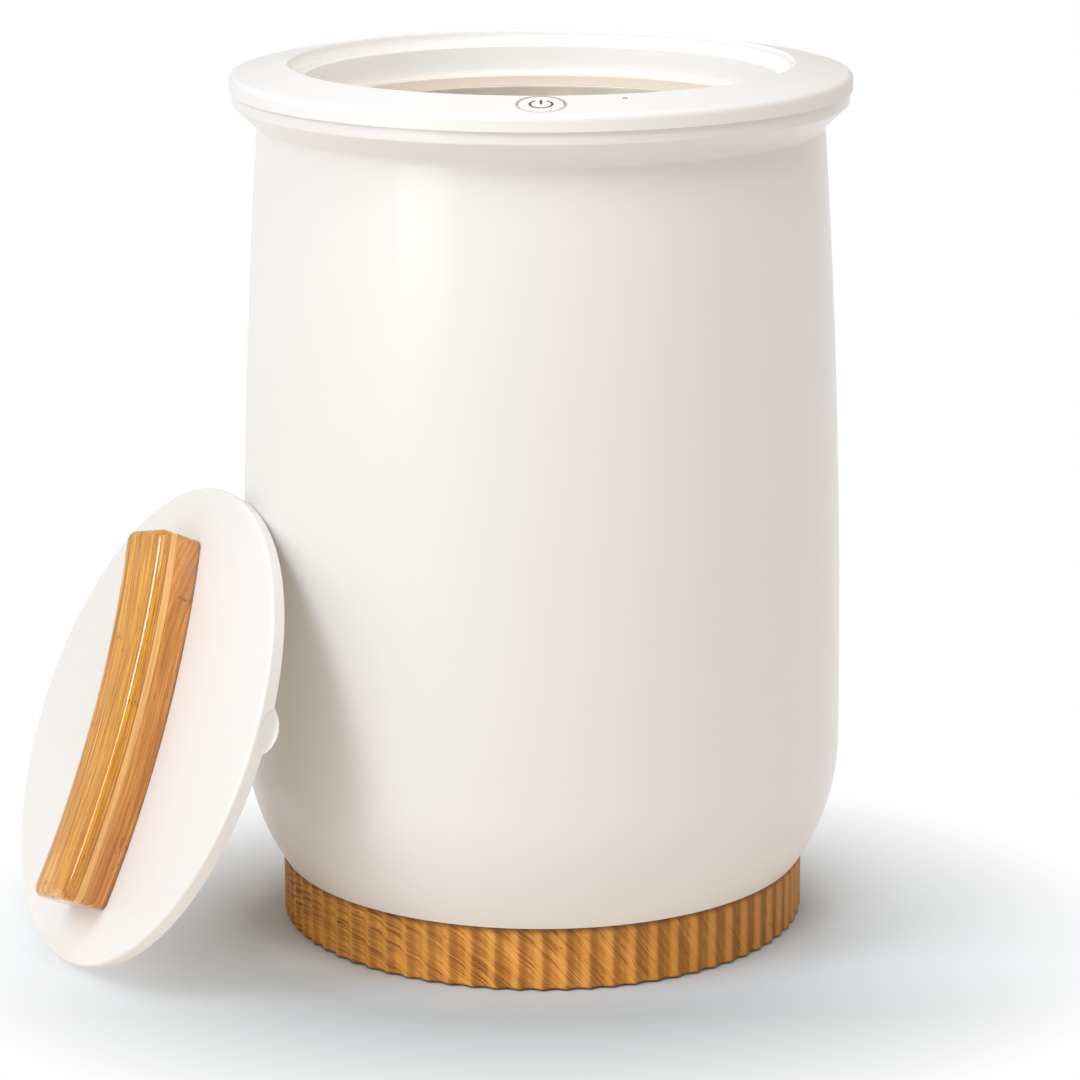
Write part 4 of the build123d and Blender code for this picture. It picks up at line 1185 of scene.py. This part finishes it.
    def round_corners(self, plan: list[Edge], corners: list[Vector], centre: Vector) -> list[Edge]:
        """Put an arc in at each of the bar's four corners.

        Args:
            plan: points and directions without the corners.
            corners: the four corners in order, from the outer side's low end.
            centre: centre of the bar's bend.

        Returns:
            The plan with arcs, in order round the bar.
        """
        r = self.bar_corner
        signs = ((1.0, -1.0), (1.0, 1.0), (-1.0, 1.0), (-1.0, -1.0))
        arcs = []
        for corner, (side, end) in zip(corners, signs):
            radial = (corner - centre).length - side * r
            y = corner.y - end * r
            middle = centre + Vector((math.sqrt(radial**2 - y**2), y))
            radial_way = (middle - centre).normalized() * side
            end_way = Vector((0.0, end))
            first, last = (end_way, radial_way) if side * end < 0.0 else (radial_way, end_way)
            sweep = first.angle_signed(last)
            arc = []
            for step in range(self.arc_steps + 1):
                way = first.copy()
                way.rotate(Matrix.Rotation(-sweep * step / self.arc_steps, 2))
                arc.append((middle + way * r, way))
            arcs.append(arc)
        straight = [pair for pair in plan if abs(pair[0].y) < corners[1].y - r]
        outer = [pair for pair in straight if (pair[0] - centre).length > self.mid_radius()]
        inner = [pair for pair in straight if (pair[0] - centre).length < self.mid_radius()]
        return [*arcs[0], *outer, *arcs[1], *arcs[2], *inner, *arcs[3]]

    def bar(self) -> None:
        """Make the bamboo bar, its long edges rounded over and a fine joint between its layers."""
        plan = self.bar_plan()
        top, r = self.bar_height, self.bar_round
        levels = [(self.bar_bevel, 0.0), (0.0, self.bar_bevel), *((0.0, level) for level in self.bar_levels)]
        half = self.joint_half
        for joint in self.bar_joints:
            levels += [(0.0, joint - half), (self.joint_depth, joint), (0.0, joint + half)]
        for step in range(self.arc_steps):
            turn = math.pi / 2.0 * step / (self.arc_steps - 1)
            levels.append((r * (1.0 - math.cos(turn)), top - r + r * math.sin(turn)))
        built = bmesh.new()
        rings = []
        for inset, z in levels:
            points = [((p.x - n.x * inset) * MM, (p.y - n.y * inset) * MM, z * MM) for p, n in plan]
            rings.append(add_ring(built, points))
        for lower, upper in zip(rings, rings[1:]):
            join_rings(built, lower, upper)
        built.faces.new(rings[-1])
        built.faces.new(list(reversed(rings[0])))
        bmesh.ops.recalc_face_normals(built, faces=built.faces)
        bar = built_piece("lid_bar", built)
        bar.data.transform(BENCH)
        dress(bar, self.finishes, "handle_bamboo", Body.LID, "lid_handle")

    def build(self) -> None:
        """Make the lid's pieces."""
        self.shell()
        self.bar()


@dataclass
class CarriedNodes:
    """CAD nodes that keep their shape and get a finish."""

    finishes: Finishes

    def build(self) -> None:
        """Give every CAD node the finish of its record slot."""
        slots = {part["node"]: part["material_slot"] for part in frame["record"]["subparts"]}
        for name, piece in frame["nodes"].items():
            material = self.finishes.get(slots[name])
            for slot in piece.material_slots:
                slot.material = material
            if not piece.material_slots:
                piece.data.materials.append(material)
        log.info("%d nodes carry a finish", len(slots))


@dataclass(frozen=True)
class Softbox:
    """A soft rectangular lamp, in metres and watts.

    Attributes:
        name: the lamp's name.
        at: where it hangs.
        aim: the point that it looks at.
        size: its width and height.
        watts: its power.
        tint: its colour.
        gloss_only: whether it shows in gloss alone and lights nothing else.
    """

    name: str
    at: Place
    aim: Place
    size: tuple[float, float]
    watts: float
    tint: Colour
    gloss_only: bool = False

    def hang(self) -> None:
        """Put the lamp in the scene, unseen by the camera itself."""
        data = bpy.data.lights.new(self.name, "AREA")
        data.shape = "RECTANGLE"
        data.size, data.size_y = self.size
        data.energy = self.watts
        data.color = self.tint
        lamp = bpy.data.objects.new(self.name, data)
        way = Vector(self.aim) - Vector(self.at)
        lamp.matrix_world = Matrix.Translation(self.at) @ way.to_track_quat("-Z", "Y").to_matrix().to_4x4()
        lamp.visible_camera = False
        lamp.visible_diffuse = not self.gloss_only
        bpy.context.scene.collection.objects.link(lamp)


LAMPS = (
    Softbox("key_left", (-1.50, -0.95, 1.75), (-0.1, -0.05, 0.25), (0.9, 1.2), 21.0, (0.80, 0.89, 1.0)),
    Softbox("fill_low", (-1.39, -1.39, 0.42), (-0.06, -0.06, 0.26), (0.7, 0.5), 2.2, (1.0, 0.98, 0.955)),
    Softbox("gloss_strip", (-1.48, -1.05, 1.25), (-0.2, -0.07, 0.12), (0.25, 1.7), 17.0, WHITE, True),
    Softbox("well_lamp", (0.08, -0.60, 1.35), (0.0, 0.08, 0.42), (0.5, 0.5), 4.3, (1.0, 0.985, 0.97)),
    Softbox("mouth_glow", (0.0, -0.04, 0.470), (0.0, 0.12, 0.425), (0.18, 0.02), 0.062, (1.0, 0.985, 0.97)),
)


@dataclass
class Studio:
    """Pale floor and backdrop, soft lights and the camera. Sizes in metres.

    Attributes:
        eye: where the camera stands.
        pitch: how far it looks down, in degrees.
        roll: how far it is tipped sideways, in degrees.
        lens: its focal length, in millimetres.
        film: width of its film, in millimetres.
        room_tint: colour of the room's even light.
        room_level: strength of that light.
        floor_rings: radii of the floor's rings.
        floor_sides: number of corners in each ring.
        paper: colour of the floor, linear.
        paper_cloud: colour of its faint cloudiness.
        paper_front_shadow: colour of the painted shadow on the floor in front of the object.
        paper_bounce: colour of the floor as the object's own surfaces see it.
        front: places across the floor between which it goes over to the painted shadow's colour.
        pool_shift: how far the pool of shade round the object is moved off the floor's origin.
        pool_stretch: how that pool is stretched.
        pool: distances between which the pool goes over to plain white.
    """

    eye: Place = (-0.00094, -2.0152, 0.72013)
    pitch: float = 14.44
    roll: float = -0.123
    lens: float = 131.08
    film: float = 36.0
    room_tint: Colour = (1.0, 0.95, 0.89)
    room_level: float = 0.605
    floor_rings: tuple[float, ...] = (0.5, 2.0, 30.0)
    floor_sides: int = 48
    paper: Colour = (0.72, 0.78, 0.835)
    paper_cloud: Colour = (0.715, 0.775, 0.83)
    paper_front_shadow: Colour = (0.50, 0.532, 0.555)
    paper_bounce: Colour = (0.93, 0.87, 0.80)
    front: Span = (-0.17, -0.10)
    pool_shift: Place = (0.005, 0.05, 0.0)
    pool_stretch: Place = (1.0, 1.15, 1.0)
    pool: Span = (0.15, 0.32)

    def camera(self) -> None:
        """Put the camera in place."""
        data = bpy.data.cameras.new("studio_camera")
        data.lens = self.lens
        data.sensor_width = self.film
        data.sensor_fit = "HORIZONTAL"
        eye = bpy.data.objects.new("studio_camera", data)
        tilt = Matrix.Rotation(math.radians(90.0 - self.pitch), 4, "X")
        roll = Matrix.Rotation(math.radians(self.roll), 4, "Z")
        eye.matrix_world = Matrix.Translation(self.eye) @ tilt @ roll
        bpy.context.scene.collection.objects.link(eye)
        bpy.context.scene.camera = eye

    def floor_paper(self) -> bpy.types.Material:
        """Make the floor's material, clear from below, darkened by a painted shadow in front of the object,
        and plain white away from it.

        Returns:
            The finished material.
        """
        sheet = NodeSheet("studio_paper")
        place = sheet.place()
        cloud = sheet.noise(place, 0.6, 1.0)
        tone = sheet.blend(sheet.remap(cloud, 0.3, 0.7), self.paper, self.paper_cloud)
        _, y, _ = sheet.split(place)
        # painted shadow: the floor darkens in front of the object
        tone = sheet.blend(sheet.remap(y, *self.front, 1.0, 0.0), tone, self.paper_front_shadow)
        middle = sheet.stretch(sheet.shift(place, self.pool_shift), self.pool_stretch)
        away = sheet.add("VectorMath", {0: middle}, operation="LENGTH").outputs["Value"]
        seen = sheet.add("LightPath").outputs
        camera = seen["Is Camera Ray"]
        sheet.set(Base_Color=sheet.blend(camera, self.paper_bounce, tone), Roughness=0.9)
        direct = sheet.larger(camera, seen["Is Transmission Ray"])
        share = sheet.times(sheet.remap(away, *self.pool), sheet.larger(direct, seen["Is Glossy Ray"]))
        glow = sheet.add("Emission", {"Color": WHITE, "Strength": 1.0}).outputs[0]
        top = sheet.add("MixShader", {0: share, 1: sheet.shader.outputs[0], 2: glow}).outputs[0]
        below = sheet.add("NewGeometry").outputs["Backfacing"]
        clear = sheet.add("BsdfTransparent", {"Color": WHITE}).outputs[0]
        both = sheet.add("MixShader", {0: below, 1: top, 2: clear}).outputs[0]
        sheet.fill(sheet.tree.nodes["Material Output"], {"Surface": both})
        return sheet.material

    def floor(self) -> None:
        """Lay the floor, a wide disc."""
        built = bmesh.new()
        rings = []
        turns = even_turns(self.floor_sides)
        for r in self.floor_rings:
            points = [(r * math.cos(turn), r * math.sin(turn), 0.0) for turn in turns]
            rings.append(add_ring(built, points))
        built.faces.new(rings[0])
        for inner, outer in zip(rings, rings[1:]):
            join_rings(built, inner, outer)
        sweep = built_piece("studio_floor", built)
        sweep.data.materials.append(self.floor_paper())

    def world(self) -> None:
        """Fill the room with even light, and show plain white to the camera and through glass."""
        world = bpy.data.worlds.new("studio_room")
        world.use_nodes = True
        bpy.context.scene.world = world
        graph = Graph(world.node_tree)
        dim = graph.tree.nodes["Background"]
        graph.fill(dim, {"Color": self.room_tint, "Strength": self.room_level})
        white = graph.add("Background", {"Color": WHITE, "Strength": 1.0}).outputs[0]
        seen = graph.add("LightPath").outputs
        direct = graph.larger(seen["Is Camera Ray"], seen["Is Transmission Ray"])
        mix = graph.add("MixShader", {0: direct, 1: dim.outputs[0], 2: white}).outputs[0]
        graph.fill(graph.tree.nodes["World Output"], {"Surface": mix})

    def build(self) -> None:
        """Set the studio up."""
        self.camera()
        self.floor()
        self.world()
        for lamp in LAMPS:
            lamp.hang()
        bpy.context.scene.view_settings.view_transform = "Standard"


def main() -> None:
    """Dress the part and set up the studio."""
    logging.basicConfig(level=logging.INFO, format="%(name)s: %(message)s")
    finishes = Finishes()
    CarriedNodes(finishes).build()
    ShellBody(finishes).build()
    BambooFoot(finishes).build()
    Lid(finishes).build()
    Studio().build()


if __name__ == "__main__":
    main()
